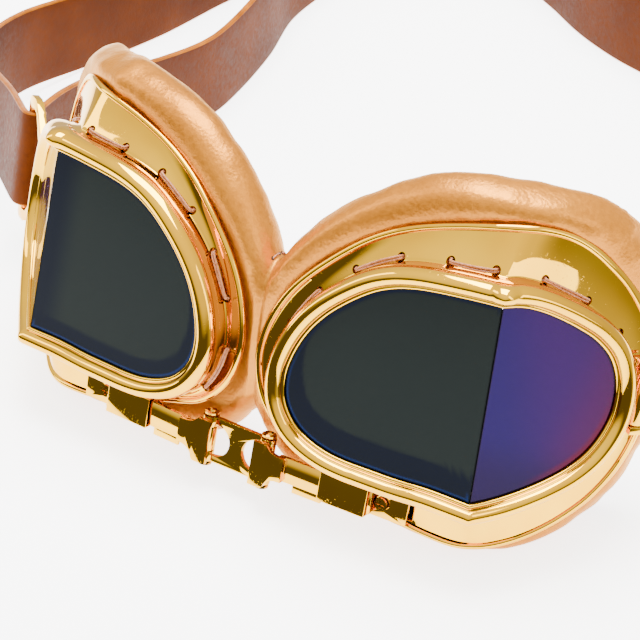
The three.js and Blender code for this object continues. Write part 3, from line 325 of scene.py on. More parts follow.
def strap_materials():
    m, nt, b = new_mat("strap_leather")
    v = where(nt)
    broad = noise_tex(nt, v, 42, 4, 0.55)
    fine = noise_tex(nt, v, 700, 4, 0.65)
    base = ramp(nt, broad, [(0.28, (0.044, 0.0068, 0.0003)), (0.52, (0.062, 0.0110, 0.0005)), (0.75, (0.088, 0.0172, 0.0011))])
    mix = node(nt, "ShaderNodeMix", data_type="RGBA", blend_type="MULTIPLY")
    mix.inputs["Factor"].default_value = 0.6
    nt.links.new(base, mix.inputs[6])
    nt.links.new(ramp(nt, fine, [(0.3, (0.62, 0.58, 0.55)), (0.65, (1.1, 1.1, 1.1))]), mix.inputs[7])
    nt.links.new(mix.outputs[2], b.inputs["Base Color"])
    nt.links.new(grey(nt, fine, 0.3, 0.55, 0.7, 0.78), b.inputs["Roughness"])
    b.inputs["Specular IOR Level"].default_value = 0.16
    b.inputs["Specular Tint"].default_value = (1.0, 0.55, 0.25, 1)
    nt.links.new(bump(nt, fine, 0.5, 0.00015, bump(nt, noise_tex(nt, v, 160, 3), 0.4, 0.0003)), b.inputs["Normal"])
    e, nt, b = new_mat("strap_edge_paint")
    v = where(nt)
    nt.links.new(ramp(nt, noise_tex(nt, v, 220, 4), [(0.3, (0.20, 0.052, 0.0015)), (0.7, (0.34, 0.098, 0.003))]), b.inputs["Base Color"])
    nt.links.new(grey(nt, noise_tex(nt, v, 500, 3), 0.3, 0.3, 0.7, 0.5), b.inputs["Roughness"])
    b.inputs["Specular IOR Level"].default_value = 0.12
    b.inputs["Specular Tint"].default_value = (1.0, 0.5, 0.15, 1)
    nt.links.new(bump(nt, noise_tex(nt, v, 600, 3), 0.3, 0.0001), b.inputs["Normal"])
    return m, e


STRAP_MAT, EDGE_MAT = strap_materials()


def simple_material(name, c0, c1, scale, r0, r1, bump_mm, metal=0.0):
    m, nt, b = new_mat(name)
    v = where(nt)
    f = noise_tex(nt, v, scale, 4, 0.6)
    nt.links.new(ramp(nt, f, [(0.3, c0), (0.7, c1)]), b.inputs["Base Color"])
    nt.links.new(grey(nt, noise_tex(nt, v, scale * 2.7, 3), 0.3, r0, 0.7, r1), b.inputs["Roughness"])
    b.inputs["Metallic"].default_value = metal
    nt.links.new(bump(nt, f, 0.5, bump_mm * 0.001), b.inputs["Normal"])
    return m


RUBBER = simple_material("black_rubber", (0.004, 0.004, 0.0045), (0.010, 0.010, 0.011), 700, 0.55, 0.75, 0.05)
LINING = simple_material("lining", (0.020, 0.010, 0.005), (0.050, 0.026, 0.014), 1300, 0.85, 0.98, 0.25)
THREAD = simple_material("lace_thread", (0.22, 0.065, 0.022), (0.50, 0.200, 0.090), 1600, 0.42, 0.65, 0.12)


def pane_material(name, rough, ior, coat, tint):
    m, nt, b = new_mat(name)
    v = where(nt)
    # the per-vertex colour read here is each pane's own tint together with its painted reflection
    a = node(nt, "ShaderNodeAttribute", attribute_name="lens_tint_and_painted_reflection")
    mix = node(nt, "ShaderNodeMix", data_type="RGBA", blend_type="MULTIPLY")
    mix.inputs["Factor"].default_value = 0.25
    nt.links.new(a.outputs["Color"], mix.inputs[6])
    nt.links.new(ramp(nt, noise_tex(nt, v, 40, 3), [(0.3, (0.75, 0.8, 0.85)), (0.7, (1.15, 1.1, 1.05))]), mix.inputs[7])
    nt.links.new(mix.outputs[2], b.inputs["Base Color"])
    b.inputs["IOR"].default_value = ior
    b.inputs["Specular Tint"].default_value = tint
    nt.links.new(grey(nt, noise_tex(nt, v, 900, 3), 0.55, rough, 0.8, rough + 0.05), b.inputs["Roughness"])
    b.inputs["Coat Weight"].default_value = coat
    b.inputs["Coat Roughness"].default_value = 0.02
    return m


PANE_F = pane_material("front_lens", 0.03, 1.12, 0.0, (0.85, 1.0, 0.97, 1))
PANE_S = pane_material("side_lens", 0.03, 1.20, 0.0, (0.7, 0.45, 1.0, 1))

# ------------------------------------------------------------------ opening of one eyepiece (+X side)
UP = A3(0, 0, 1)
E1 = A3(math.cos(rad(PANE_YAW)), math.sin(rad(PANE_YAW)), 0)
N1 = A3(math.sin(rad(PANE_YAW)), -math.cos(rad(PANE_YAW)), 0)
C0 = A3(CENTRE_X, 0, 0)
TOP = C0 + E1 * FRONT_EDGE[0][0] + UP * FRONT_EDGE[0][1]
LOW = C0 + E1 * FRONT_EDGE[-1][0] + UP * FRONT_EDGE[-1][1]
SPLIT = unit(TOP - LOW)
MID = (TOP + LOW) / 2
E2 = A3(math.cos(rad(SIDE_YAW)), math.sin(rad(SIDE_YAW)), 0)
E2 = unit(E2 - SPLIT * (E2 @ SPLIT))
N2 = unit(np.cross(E2, SPLIT))
K2 = np.linalg.norm(TOP - LOW) / 2 / SIDE_EDGE[0][1]
BIS = unit(N1 + N2)
MITRE = 1 / (BIS @ N1)
FRONT_POLY = catmull([C0 + E1 * a + UP * b for a, b in FRONT_EDGE])
SIDE_POLY = catmull([MID + E2 * a + SPLIT * b * K2 for a, b in SIDE_EDGE][::-1])
NF, NS = ((150, 96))


class Station:
    pass


def stations(nf, ns, reach=6.0):
    fp, ft, lf = resample(FRONT_POLY, np.arange(nf + 1) / nf)
    sp, st_, ls = resample(SIDE_POLY, np.arange(ns + 1) / ns)
    total = lf + ls
    inner = A3(58, 5, 1)
    corner = {}
    raw = []
    for k in range(nf + 1):
        raw.append((k / nf * lf / total, fp[k], ft[k], N1, "front", min(k, nf - k) / nf * lf, 0 if k < nf / 2 else 1))
    for k in range(1, ns):
        raw.append(((lf + k / ns * ls) / total, sp[k], st_[k], N2, "side", min(k, ns - k) / ns * ls, 1 if k < ns / 2 else 0))

    def side_normal(t, n, p):
        q = -unit(np.cross(n, t))
        return -q if (p - inner) @ q < 0 else q

    # mitred direction at the two corners
    q0 = unit(side_normal(ft[0], N1, TOP) + side_normal(st_[-1], N2, TOP))
    q1 = unit(side_normal(ft[-1], N1, LOW) + side_normal(st_[0], N2, LOW))
    corner = {0: unit(q0 - BIS * (q0 @ BIS)), 1: unit(q1 - BIS * (q1 @ BIS))}
    out = []
    for s, p, t, n, pane, d, c in raw:
        q = side_normal(t, n, p)
        w = max(0.0, 1 - d / reach)
        x = Station()
        x.s, x.p, x.pane, x.d, x.c = s, p, pane, d, c
        x.q = q * (1 - w) + corner[c] * w
        x.n = n * (1 - w) + BIS * MITRE * w
        x.q0 = q
        out.append(x)
    return out, lf / total, total


ST, S_LOW, OPEN_LEN = stations(NF, NS)
S_ARR = np.array([x.s for x in ST])


def at(st, q, n):
    return st.p + st.q * q + st.n * n


def drop_back(st, q, n, start):
    """As at(), but what lies behind start drops straight back along +Y."""
    p = at(st, q, max(n, start))
    return p + A3(0, max(0.0, start - n), 0)


def outer_edge(st):
    w, d, g = flange(st.s)
    return drop_back(st, w, -d, -g - 0.2)


def along(a, b):
    d = np.abs(a - b) % 1
    return np.minimum(d, 1 - d) * OPEN_LEN


def rounding(st):
    """The outer edge rounds off the two corners of the opening instead of following them."""
    if not hasattr(st, "shift"):
        if "edge" not in CACHE:
            CACHE["edge"] = np.array([outer_edge(x) for x in ST])
            CACHE["gap"] = along(np.roll(S_ARR, -1), np.roll(S_ARR, 1)) / 2
        near = min(along(st.s, 0.0), along(st.s, S_LOW))
        win = math.exp(-0.5 * (near / ROUND_REACH) ** 2)
        st.shift = np.zeros(3)
        if win > 0.003:
            k = np.exp(-0.5 * (along(S_ARR, st.s) / ROUND_SPAN) ** 2) * CACHE["gap"]
            st.shift = win * ((CACHE["edge"] * k[:, None]).sum(0) / k.sum() - outer_edge(st))
    return st.shift


def straight_back(st, q, n, start):
    w = look(FLANGE_W, st.s)
    return drop_back(st, q, n, start) + rounding(st) * min(1, max(0, (q - 5.2) / (w - 5.2)))


CACHE = {}
ROUND_SPAN, ROUND_REACH = 6.5, 14.0


def station_at(s):
    s %= 1.0
    i = int(np.searchsorted(S_ARR, s, side="right") - 1)
    a, b = ST[i], ST[(i + 1) % len(ST)]
    sb = 1.0 if i == len(ST) - 1 else b.s
    t = (s - a.s) / (sb - a.s)
    x = Station()
    x.s, x.p, x.q, x.n = s, a.p * (1 - t) + b.p * t, a.q * (1 - t) + b.q * t, a.n * (1 - t) + b.n * t
    return x


def flange(s):
    return look(FLANGE_W, s), look(FLANGE_D, s), look(GROOVE_D, s)


def flange_face(s, q):
    w, d, g = flange(s)
    g0 = -g - 0.2
    t = min(1, max(0, (q - 5.2) / (w - 1.2 - 5.2)))
    return g0 + (-d - g0) * t - 0.35 * math.sin(math.pi * t)


# ------------------------------------------------------------------ gold frame with its flange, bead and lace holes
def frame_section(st):
    w, d, g = flange(st.s)
    a, b = 5.2, w - 1.35
    wall = WALL_OUT + 0.48
    pts = [(WALL_IN, -0.5), (WALL_OUT, -0.5), (WALL_OUT, -2.5), (wall, -2.75), (wall, -3.5), (wall, -g + 0.35)]
    # fillet from the wall into the groove
    g0 = flange_face(st.s, a)
    for k in range(1, 4):
        u = k / 4 * math.pi / 2
        pts.append((wall + (a - wall) * (1 - math.cos(u)), (-g + 0.35) + (g0 - (-g + 0.35)) * math.sin(u)))
    for k in range(0, 13):
        q = a + (b - a) * k / 12
        pts.append((q, flange_face(st.s, q)))
    # rolled bead
    r, cq = 0.82, w - 0.42
    cn = flange_face(st.s, b) - 0.12
    for k in range(0, 12):
        u = rad(165 - k * 300 / 11)
        pts.append((cq + r * math.cos(u), cn + r * 1.05 * math.sin(u) + 0.1))
    m = (a + b) / 2
    pts += [(b - 0.3, flange_face(st.s, b) - FLANGE_T), (m, flange_face(st.s, m) - FLANGE_T), (a - 1.0, g0 - FLANGE_T),
            (SEAT_IN, -5.9), (SEAT_IN, -5.0), (WALL_IN, -5.0)]
    return [straight_back(st, q, n, -g - 0.2) if q > 5.19 else at(st, q, n) for q, n in pts]


def rim_section(st):
    block = 0.0
    dd = min(abs(st.s), abs(1 - st.s)) * OPEN_LEN
    if dd < 1.75:
        block = 0.62
    elif dd < 2.0:
        block = 0.62 * (2.0 - dd) / 0.25
    hi = 1.0 + 0.16 * (block > 0)
    pts = [(0.0, -0.55), (-0.05, -0.15), (0.02, 0.22), (0.18, 0.38), (0.42, 0.42), (0.66, 0.36), (0.78, 0.34), (0.86, 0.55),
           (1.0, 0.95), (1.28, 1.45), (1.7, 1.86), (2.2, 2.12), (2.75, 2.2), (3.3, 2.08), (3.85, 1.76), (4.35, 1.22),
           (4.72, 0.55), (4.93, -0.2), (5.0, -0.9), (4.97, -1.7), (4.86, -2.5), (4.6, -2.65), (4.5, -2.4), (4.5, -0.6), (4.4, -0.15),
           (3.2, -0.1), (1.4, -0.12), (0.3, -0.2)]
    out = []
    for q, n in pts:
        k = 1 if n > 0.6 else 0
        out.append(at(st, q + (0.25 * block if q > 4.3 else 0), n * hi + block * k * 0.55))
    return out


def ring_object(name, section, mats, sgn, smooth=True, sharp=None):
    secs = [section(st) for st in ST]
    n, m = len(secs), len(secs[0])
    V = W(np.array(secs).reshape(-1, 3), sgn)
    o = mesh_object(name, V, grid_faces(n, m, True, True), mats, smooth)
    outward(o)
    if sharp:
        o.data.set_sharp_from_angle(angle=rad(sharp))
    return o


def cylinder(bm, a, b, r, seg):
    d = Vector(b) - Vector(a)
    z = d.normalized()
    x = z.orthogonal().normalized()
    y = z.cross(x)
    lo, hi = [], []
    for k in range(seg):
        u = 2 * math.pi * k / seg
        off = x * (r * math.cos(u)) + y * (r * math.sin(u))
        lo.append(bm.verts.new(Vector(a) + off))
        hi.append(bm.verts.new(Vector(b) + off))
    for k in range(seg):
        bm.faces.new((lo[k], lo[(k + 1) % seg], hi[(k + 1) % seg], hi[k]))
    bm.faces.new(lo[::-1])
    bm.faces.new(hi)


def make_frames():
    for side, sgn in (("left", 1), ("right", -1)):
        o = ring_object(side + "_frame_gold", frame_section, [GOLD], sgn)
        bm = bmesh.new()
        for s in HOLE_S:
            st = station_at(s)
            n = flange_face(s, HOLE_Q)
            cylinder(bm, W(at(st, HOLE_Q, n + 2.0), sgn), W(at(st, HOLE_Q, n - 3.0), sgn), 0.001 * HOLE_R, 20)
        me = bpy.data.meshes.new("holes")
        bm.to_mesh(me)
        bm.free()
        tool = bpy.data.objects.new("holes", me)
        bpy.context.scene.collection.objects.link(tool)
        mod = o.modifiers.new("holes", "BOOLEAN")
        mod.object, mod.operation, mod.solver = tool, "DIFFERENCE", "EXACT"
        apply_modifiers(o)
        bpy.data.objects.remove(tool)
        o.data.set_sharp_from_angle(angle=rad(38))
        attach(o, side + "_cup")
        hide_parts(side + "_frame")
        r = ring_object(side + "_rim_gold", rim_section, [GOLD], sgn, sharp=50)
        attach(r, side + "_cup")
        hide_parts(side + "_rim")


make_frames()


# ------------------------------------------------------------------ panes
def pane(which, sgn, name, mat, colour):
    front = which == "front"
    Nn, A, B, O = (N1, E1, UP, C0) if front else (N2, E2, SPLIT, MID)
    poly = FRONT_POLY if front else SIDE_POLY
    pts, tan, ln = resample(poly, np.linspace(0, 1, 90))
    q = np.array([-unit(np.cross(Nn, t)) for t in tan])
    inner = A3(58, 5, 1)
    q = np.where((((pts - inner) * q).sum(1) < 0)[:, None], -q, q)
    ends = (TOP, LOW) if front else (LOW, TOP)
    gap = E1 * -0.12 if front else E2 * 0.12

    def ring(over, depth):
        out = []
        for k in range(1, len(pts) - 1):
            out.append(pts[k] + q[k] * over + Nn * depth)
        a, b = ends
        sa, sb = (1, -1) if front else (-1, 1)
        pa = a + SPLIT * sa * over + BIS * MITRE * depth + gap
        pb = b + SPLIT * sb * over + BIS * MITRE * depth + gap
        # keep the curved side's points on their own side of the mitre
        out = np.array(out)
        cut = out - (MID + BIS * MITRE * depth + gap)
        across = A if front else -A
        over_it = np.maximum((cut @ across), 0)
        out = out - over_it[:, None] * across
        m = 24
        split = [pb + (pa - pb) * k / m for k in range(m + 1)]
        return np.vstack([out, split])

    base = ring(0, PANE_FRONT)
    centre = base.mean(0)
    rings = [ring(PANE_OVER, PANE_FRONT), ring(0.0, PANE_FRONT)]
    steps = [0.15, 0.3, 0.45, 0.6, 0.75, 0.9, 1.1, 1.4, 1.8, 2.3, 2.9, 3.4, 3.9, 4.4, 4.9, 5.4, 5.9, 6.4, 6.9, 7.6, 8.6, 10, 12, 14.5, 17]
    for dm in steps:
        rings.append(centre + (base - centre) * (1 - dm / 19.0))
    m = len(base)
    V = np.vstack(rings + [centre[None]])
    faces = grid_faces(len(rings), m, False, True)
    last = (len(rings) - 1) * m
    faces += [(last + j, last + (j + 1) % m, len(V) - 1) for j in range(m)]
    nb = len(V)
    back = ring(PANE_OVER, PANE_BACK)
    V = np.vstack([V, back, back.mean(0)[None]])
    faces += [(j, (j + 1) % m, nb + (j + 1) % m, nb + j) for j in range(m)]
    faces += [(nb + (j + 1) % m, nb + j, nb + m) for j in range(m)]
    # distance from the edge of the opening, and place across the pane
    arc = len(pts) - 2
    d, ds = np.full(len(V), 1e9), np.full(len(V), 1e9)
    for i in range(len(base)):
        a, b = base[i], base[(i + 1) % len(base)]
        ab = b - a
        L2 = ab @ ab
        if L2 < 1e-9:
            continue
        t = np.clip(((V - a) @ ab) / L2, 0, 1)
        dist_i = np.linalg.norm(V - (a + t[:, None] * ab), axis=1)
        if i < arc - 1:
            d = np.minimum(d, dist_i)
        elif i >= arc:
            ds = np.minimum(ds, dist_i)
    u, v = (V - O) @ A, (V - O) @ B
    col = np.array([colour(*k) for k in zip(d, ds, u, v)])
    o = mesh_object(name, W(V, sgn), faces, [mat], True)
    outward(o)
    at_ = o.data.attributes.new("lens_tint_and_painted_reflection", "FLOAT_COLOR", "POINT")
    at_.data.foreach_set("color", np.hstack([col, np.ones((len(col), 1))]).astype(np.float32).ravel())
    o.data.set_sharp_from_angle(angle=rad(30))
    return o


def front_tint_and_painted_reflection(reflection_band_lo, reflection_band_hi, split_reflection_dark):
    def f(d, ds, u, v):
        # painted reflection: a dark blue-black band along the edge of the opening, widest towards the lower nose side,
        # and on one pane a darker painted reflection towards the split
        k = smooth(-4, 20, -u * 0.06 - v * 1.15)
        wide = reflection_band_lo + (reflection_band_hi - reflection_band_lo) * k
        c = lerp((0.0005, 0.0008, 0.0052), (0.0060, 0.0078, 0.0073), smooth(wide - 0.35, wide + 0.45, d))
        c = lerp(c, (0.0004, 0.0005, 0.0050), split_reflection_dark * smooth(10, 2.5, ds))
        # a thin bright blue line just inside the edge of the opening is a painted highlight
        line = math.exp(-((d - 0.62) / 0.22) ** 2) * (0.12 + 0.88 * k)
        c = lerp(c, (0.002, 0.010, 0.060), line)
        return lerp(c, (0.0001, 0.0001, 0.0002), max(smooth(0.3, 0.05, d), smooth(0.3, 0.1, ds)))
    return f


def side_tint_and_painted_reflection(d, ds, u, v):
    # purple tint of the side lens; painted reflection shifts it to magenta across the pane, darkens its lower part and
    # puts a red patch by the lower far edge; it falls to near black at the edge of the opening
    c = lerp((0.0040, 0.0014, 0.036), (0.0125, 0.0013, 0.036), smooth(2, 20, u + v * 0.25))
    c = lerp(c, (0.030, 0.0012, 0.025), smooth(15, 32, u - v * 0.25))
    c = lerp(c, (0.0022, 0.0009, 0.014), smooth(-4, -17, v + u * 0.25) * 0.85)
    c = lerp(c, (0.06, 0.001, 0.006), smooth(2.2, 0.8, d) * smooth(10, 24, u) * smooth(4, -8, v))
    return lerp(c, (0.0003, 0.0002, 0.001), max(smooth(0.6, 0.1, d), smooth(0.25, 0.1, ds)))


for side, sgn in (("left", 1), ("right", -1)):
    # the right front pane gets a narrower painted reflection band and the darker painted reflection towards the split
    o = pane("front", sgn, side + "_front_lens", PANE_F, front_tint_and_painted_reflection(0.9, 6.4, 0.0) if sgn > 0 else front_tint_and_painted_reflection(0.9, 4.2, 0.85))
    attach(o, side + "_cup")
    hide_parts(side + "_front_pane")
    o = pane("side", sgn, side + "_side_lens", PANE_S, side_tint_and_painted_reflection)
    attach(o, side + "_cup")
    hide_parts(side + "_side_pane")

# ------------------------------------------------------------------ leather mask
EYE = A3(46, 0, 1)


def face_y(x):
    return 22.5 + 0.0042 * max(0, x - 8) ** 2


def leather_section(st):
    w, d, g = flange(st.s)
    b, back, sb = look(BULGE, st.s), look(BULGE_BACK, st.s), max(0, look(SET_BACK, st.s))
    start = -g - 0.2
    F = straight_back(st, w, -d, start)
    o = unit(A3(F[0] - EYE[0], 0, F[2] - EYE[2]))
    m1 = at(st, 1.5, -g - MASK_GAP)
    # a little more room beside the nose, where the eyepieces slide towards each other
    room = 0.9 * smooth(0.17, 0.22, st.s) * smooth(0.42, 0.37, st.s)
    m2 = straight_back(st, w - 2.0, -d - MASK_GAP - room, start)
    m3 = straight_back(st, w + 1.0 + 0.5 * room, -d - 0.15 - sb - room, start)
    m4 = straight_back(st, w + 0.62 * b, -d - 0.7 - sb, start)
    m5 = straight_back(st, w + b + 0.3, -d - back - sb * 0.5, start)
    m7 = A3(F[0], 0, F[2]) - o * 1.0
    m7[1] = face_y(m7[0])
    m6 = (m5 + m7) * 0.5 + o * 0.22 * b
    m8 = A3(F[0], 0, F[2]) - o * 6.5
    m8[1] = face_y(m8[0]) - 0.5
    m9 = (m8 + m1) * 0.5 + o * 0.8
    c = catmull([m1, m2, m3, m4, m5, m6, m7, m8, m9], per=6, closed=True)
    return c


def soften(me):
    """Wears down any edge too sharp for padded leather, and leaves the rest alone."""
    n = len(me.vertices)
    e = np.empty(len(me.edges) * 2, dtype=np.int32)
    me.edges.foreach_get("vertices", e)
    i, j = e.reshape(-1, 2).T
    deg = np.maximum(np.bincount(i, minlength=n) + np.bincount(j, minlength=n), 1)
    for _ in range(3):
        nor = np.empty(n * 3)
        me.vertices.foreach_get("normal", nor)
        nor = nor.reshape(-1, 3)
        sharp = (nor[i] * nor[j]).sum(1) < math.cos(math.radians(33))
        w = np.zeros(n)
        w[i[sharp]] = 1
        w[j[sharp]] = 1
        for _ in range(7):
            v = w.copy()
            np.maximum.at(v, i, 0.9 * w[j])
            np.maximum.at(v, j, 0.9 * w[i])
            w = v
        co = coords(me)
        for _ in range(24):
            mean = np.stack([np.bincount(i, co[j, k], n) + np.bincount(j, co[i, k], n) for k in range(3)], 1) / deg[:, None]
            co = co + 0.6 * w[:, None] * (mean - co)
        me.vertices.foreach_set("co", co.ravel())
        me.update()


def leather():
    every = 2
    secs = np.array([leather_section(st) for st in ST[::every]])
    for _ in range(11):
        secs = (np.roll(secs, 2, 0) + 2 * np.roll(secs, 1, 0) + 3 * secs + 2 * np.roll(secs, -1, 0) + np.roll(secs, -2, 0)) / 9
    n, m = secs.shape[:2]
    # the back edge turns the temple corner in a wide sweep, so it is evened out further
    back = np.interp(np.arange(m), [18, 25, 38, 44], [0, 1, 1, 0])[None, :, None]
    for _ in range(40):
        secs = secs + back * ((np.roll(secs, 1, 0) + np.roll(secs, -1, 0)) / 2 - secs) * 0.5
    verts, faces = [], []
    for sgn in (1, -1):
        off = len(verts) * n * m
        P = secs.reshape(-1, 3) * A3(sgn, 1, 1)
        verts.append(P)
        f = grid_faces(n, m, True, True)
        faces += [tuple(i + off for i in (q if sgn > 0 else q[::-1])) for q in f]
    o = mesh_object("leather_raw", np.vstack(verts) * 0.001, faces, [LEATHER], True)
    outward(o)
    rm = o.modifiers.new("remesh", "REMESH")
    rm.mode, rm.voxel_size, rm.adaptivity = "VOXEL", (0.0008), 0.0
    sm = o.modifiers.new("smooth", "SMOOTH")
    sm.factor, sm.iterations = 0.5, (10)
    apply_modifiers(o)
    me = o.data
    me.update()
    soften(me)
    co = coords(me) * 1000.0
    nor = np.empty(len(me.vertices) * 3)
    me.vertices.foreach_get("normal", nor)
    nor = nor.reshape(-1, 3)
    # soft folds: long ones running outwards, short puckers, none where the flange holds the leather
    amp = np.empty(len(co))
    for i, (p, q) in enumerate(zip(co, nor)):
        x = abs(p[0])
        ang = math.atan2(p[2] - 1, x - 50)
        r = math.hypot(p[2] - 1, (x - 50) * 0.72)
        a = noise.noise(Vector((ang * 3.2 + 5 * (p[0] > 0), r * 0.05, p[1] * 0.05)))
        b = noise.noise(Vector((ang * 8.5, r * 0.10, p[1] * 0.09 + 7)))
        c = noise.noise(Vector((p[0] * 0.22, p[1] * 0.22, p[2] * 0.22)))
        amp[i] = 0.85 * a + 0.42 * b + 0.16 * c
    outer = np.clip((co[:, 1] - 6) / 8, 0, 1)
    # crease where the two halves meet over the nose
    crease = 0.75 * np.exp(-(co[:, 0] / 0.8) ** 2)
    co = co + nor * (amp * (0.25 + 0.75 * outer) - crease)[:, None]
    # the lower edge rests on the surface
    world = W(co)
    low = world[:, 2] < 0.0006
    world[low, 2] = np.maximum(world[low, 2], 0.0) * 0.5 + 0.0001
    me.vertices.foreach_set("co", world.ravel())
    me.update()
    me.polygons.foreach_set("use_smooth", [True] * len(me.polygons))
    return o


raw = leather()
raw.data.materials.clear()
raw.data.materials.append(LEATHER)


def slab(source, x0, x1, name):
    """the part of the leather between two planes of constant x, keeping the whole mesh's normals"""
    bm = bmesh.new()
    bm.from_mesh(source.data)
    nl = bm.verts.layers.float_vector.new("keep_normal")
    for v in bm.verts:
        v[nl] = v.normal
    for x, sign in ((x0, -1), (x1, 1)):
        if x is None:
            continue
        geom = bm.verts[:] + bm.edges[:] + bm.faces[:]
        bmesh.ops.bisect_plane(bm, geom=geom, dist=1e-7, plane_co=((x + XS) * 0.001, 0, 0), plane_no=(sign, 0, 0), clear_outer=True)
    me = bpy.data.meshes.new(name)
    bm.to_mesh(me)
    bm.free()
    o = bpy.data.objects.new(name, me)
    bpy.context.scene.collection.objects.link(o)
    k = np.empty(len(me.vertices) * 3)
    me.attributes["keep_normal"].data.foreach_get("vector", k)
    k = k.reshape(-1, 3)
    ln = np.linalg.norm(k, axis=1, keepdims=True)
    k = np.where(ln > 0.2, k / np.maximum(ln, 1e-9), 0)
    me.attributes.remove(me.attributes["keep_normal"])
    me.materials.append(LEATHER)
    me.polygons.foreach_set("use_smooth", [True] * len(me.polygons))
    me.normals_split_custom_set_from_vertices([tuple(v) for v in k])
    return o


for side, sgn in (("left", 1), ("right", -1)):
    cup = slab(raw, NOSE_HALF if sgn > 0 else None, None if sgn > 0 else -NOSE_HALF, side + "_mask_leather")
    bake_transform(cup)
    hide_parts(side + "_mask")
    nose = slab(raw, 0.0 if sgn > 0 else -NOSE_HALF, NOSE_HALF if sgn > 0 else 0.0, side + "_nose_leather")
    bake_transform(nose)
    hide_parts("nose_leather")


# stitches of the seam down the middle of the nose leather
def nose_stitches():
    bvh = BVHTree.FromPolygons([v.co.copy() for v in raw.data.vertices], [tuple(p.vertices) for p in raw.data.polygons])
    pts = []
    for k in range(60):
        a = rad(-20 + 130 * k / 59)
        d = Vector(D(A3(0, math.cos(a) * -1, math.sin(a)))) * -1
        start = Vector(W(A3(-0.9, 14, 10))) - d * 0.09
        hit = bvh.ray_cast(start, d)
        if hit[0] is not None:
            pts.append((hit[0], hit[1]))
    return pts


SEAM = nose_stitches()


def tube_mesh(path, r, seg=8):
    """tube along points (metres), rounded by parallel transport, with flat ends"""
    P = np.asarray(path, float)
    t = np.gradient(P, axis=0)
    t /= np.linalg.norm(t, axis=1, keepdims=True)
    x = unit(np.cross(t[0], A3(0.3, 0.2, 0.9)))
    V = []
    for k in range(len(P)):
        x = unit(x - t[k] * (x @ t[k]))
        y = np.cross(t[k], x)
        for j in range(seg):
            u = 2 * math.pi * j / seg
            V.append(P[k] + r * (x * math.cos(u) + y * math.sin(u)))
    n = len(P)
    F = grid_faces(n, seg, False, True)
    F.append(tuple(range(seg))[::-1])
    F.append(tuple((n - 1) * seg + j for j in range(seg)))
    return V, F


def joined(name, parts, mats):
    V, F = [], []
    for v, f in parts:
        off = len(V)
        V += list(v)
        F += [tuple(i + off for i in q) for q in f]
    o = mesh_object(name, V, F, mats, True)
    outward(o)
    o.data.set_sharp_from_angle(angle=rad(50))
    return o


def seam_thread():
    parts = []
    pos = [np.array(p) for p, _ in SEAM]
    nor = [np.array(n) for _, n in SEAM]
    if len(pos) < 6:
        return
    cum = np.concatenate([[0], np.cumsum([np.linalg.norm(b - a) for a, b in zip(pos[:-1], pos[1:])])])
    P, Q = np.array(pos), np.array(nor)
    holes = []
    for i in range(6):
        s = cum[-1] * 0.52 + i * 0.0040
        if s + 0.003 > cum[-1]:
            break
        u = np.linspace(s, s + 0.0027, 9)
        pp = np.stack([np.interp(u, cum, P[:, k]) for k in range(3)], -1)
        qq = np.stack([np.interp(u, cum, Q[:, k]) for k in range(3)], -1)
        h = np.sin(np.linspace(0, math.pi, 9)) * 0.00034 - 0.00010
        parts.append(tube_mesh(pp + qq * h[:, None], 0.00024, 6))
        # dark discs in the lining's colour at both ends of each stitch are painted shade standing in for the stitch
        # holes
        for j in (0, -1):
            holes.append(tube_mesh(np.array([pp[j] - qq[j] * 0.0006, pp[j] + qq[j] * 0.00008]), 0.00046, 10))
    o = joined("nose_seam_thread", parts, [THREAD])
    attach(o, "bridge")
    o = joined("nose_seam_hole_shade", holes, [LINING])
    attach(o, "bridge")


seam_thread()
bpy.data.objects.remove(raw)


# lining roll round the face edge
def pad_section(st):
    w, d, g = flange(st.s)
    F = straight_back(st, w, -d, -g - 0.2)
    o = unit(A3(F[0] - EYE[0], 0, F[2] - EYE[2]))
    c = A3(F[0], 0, F[2]) - o * 4.2
    c[1] = face_y(c[0]) + PAD_R + 0.1
    swell = 1 + 0.05 * math.sin(st.s * 2 * math.pi * 23) + 0.04 * math.sin(st.s * 2 * math.pi * 9 + 1)
    return [c + (o * PAD_R * 1.15 * math.cos(a) + A3(0, 1, 0) * PAD_R * 0.9 * math.sin(a)) * swell
            for a in [2 * math.pi * k / 18 for k in range(18)]]


for side, sgn in (("left", 1), ("right", -1)):
    o = ring_object(side + "_lining_roll", pad_section, [LINING], sgn)
    pc = coords(o.data)
    pc[:, 2] = np.maximum(pc[:, 2], 0.0003)
    o.data.vertices.foreach_set("co", pc.ravel())
    o.data.update()
    bm = bmesh.new()
    bm.from_mesh(o.data)
    geom = bm.verts[:] + bm.edges[:] + bm.faces[:]
    r = bmesh.ops.bisect_plane(bm, geom=geom, dist=1e-7, plane_co=((sgn * 9.8 + XS) * 0.001, 0, 0), plane_no=(-sgn, 0, 0), clear_outer=True)
    edges = [e for e in r["geom_cut"] if isinstance(e, bmesh.types.BMEdge)]
    bmesh.ops.holes_fill(bm, edges=edges)
    bm.to_mesh(o.data)
    bm.free()
    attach(o, side + "_cup")
    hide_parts(side + "_face_pad")


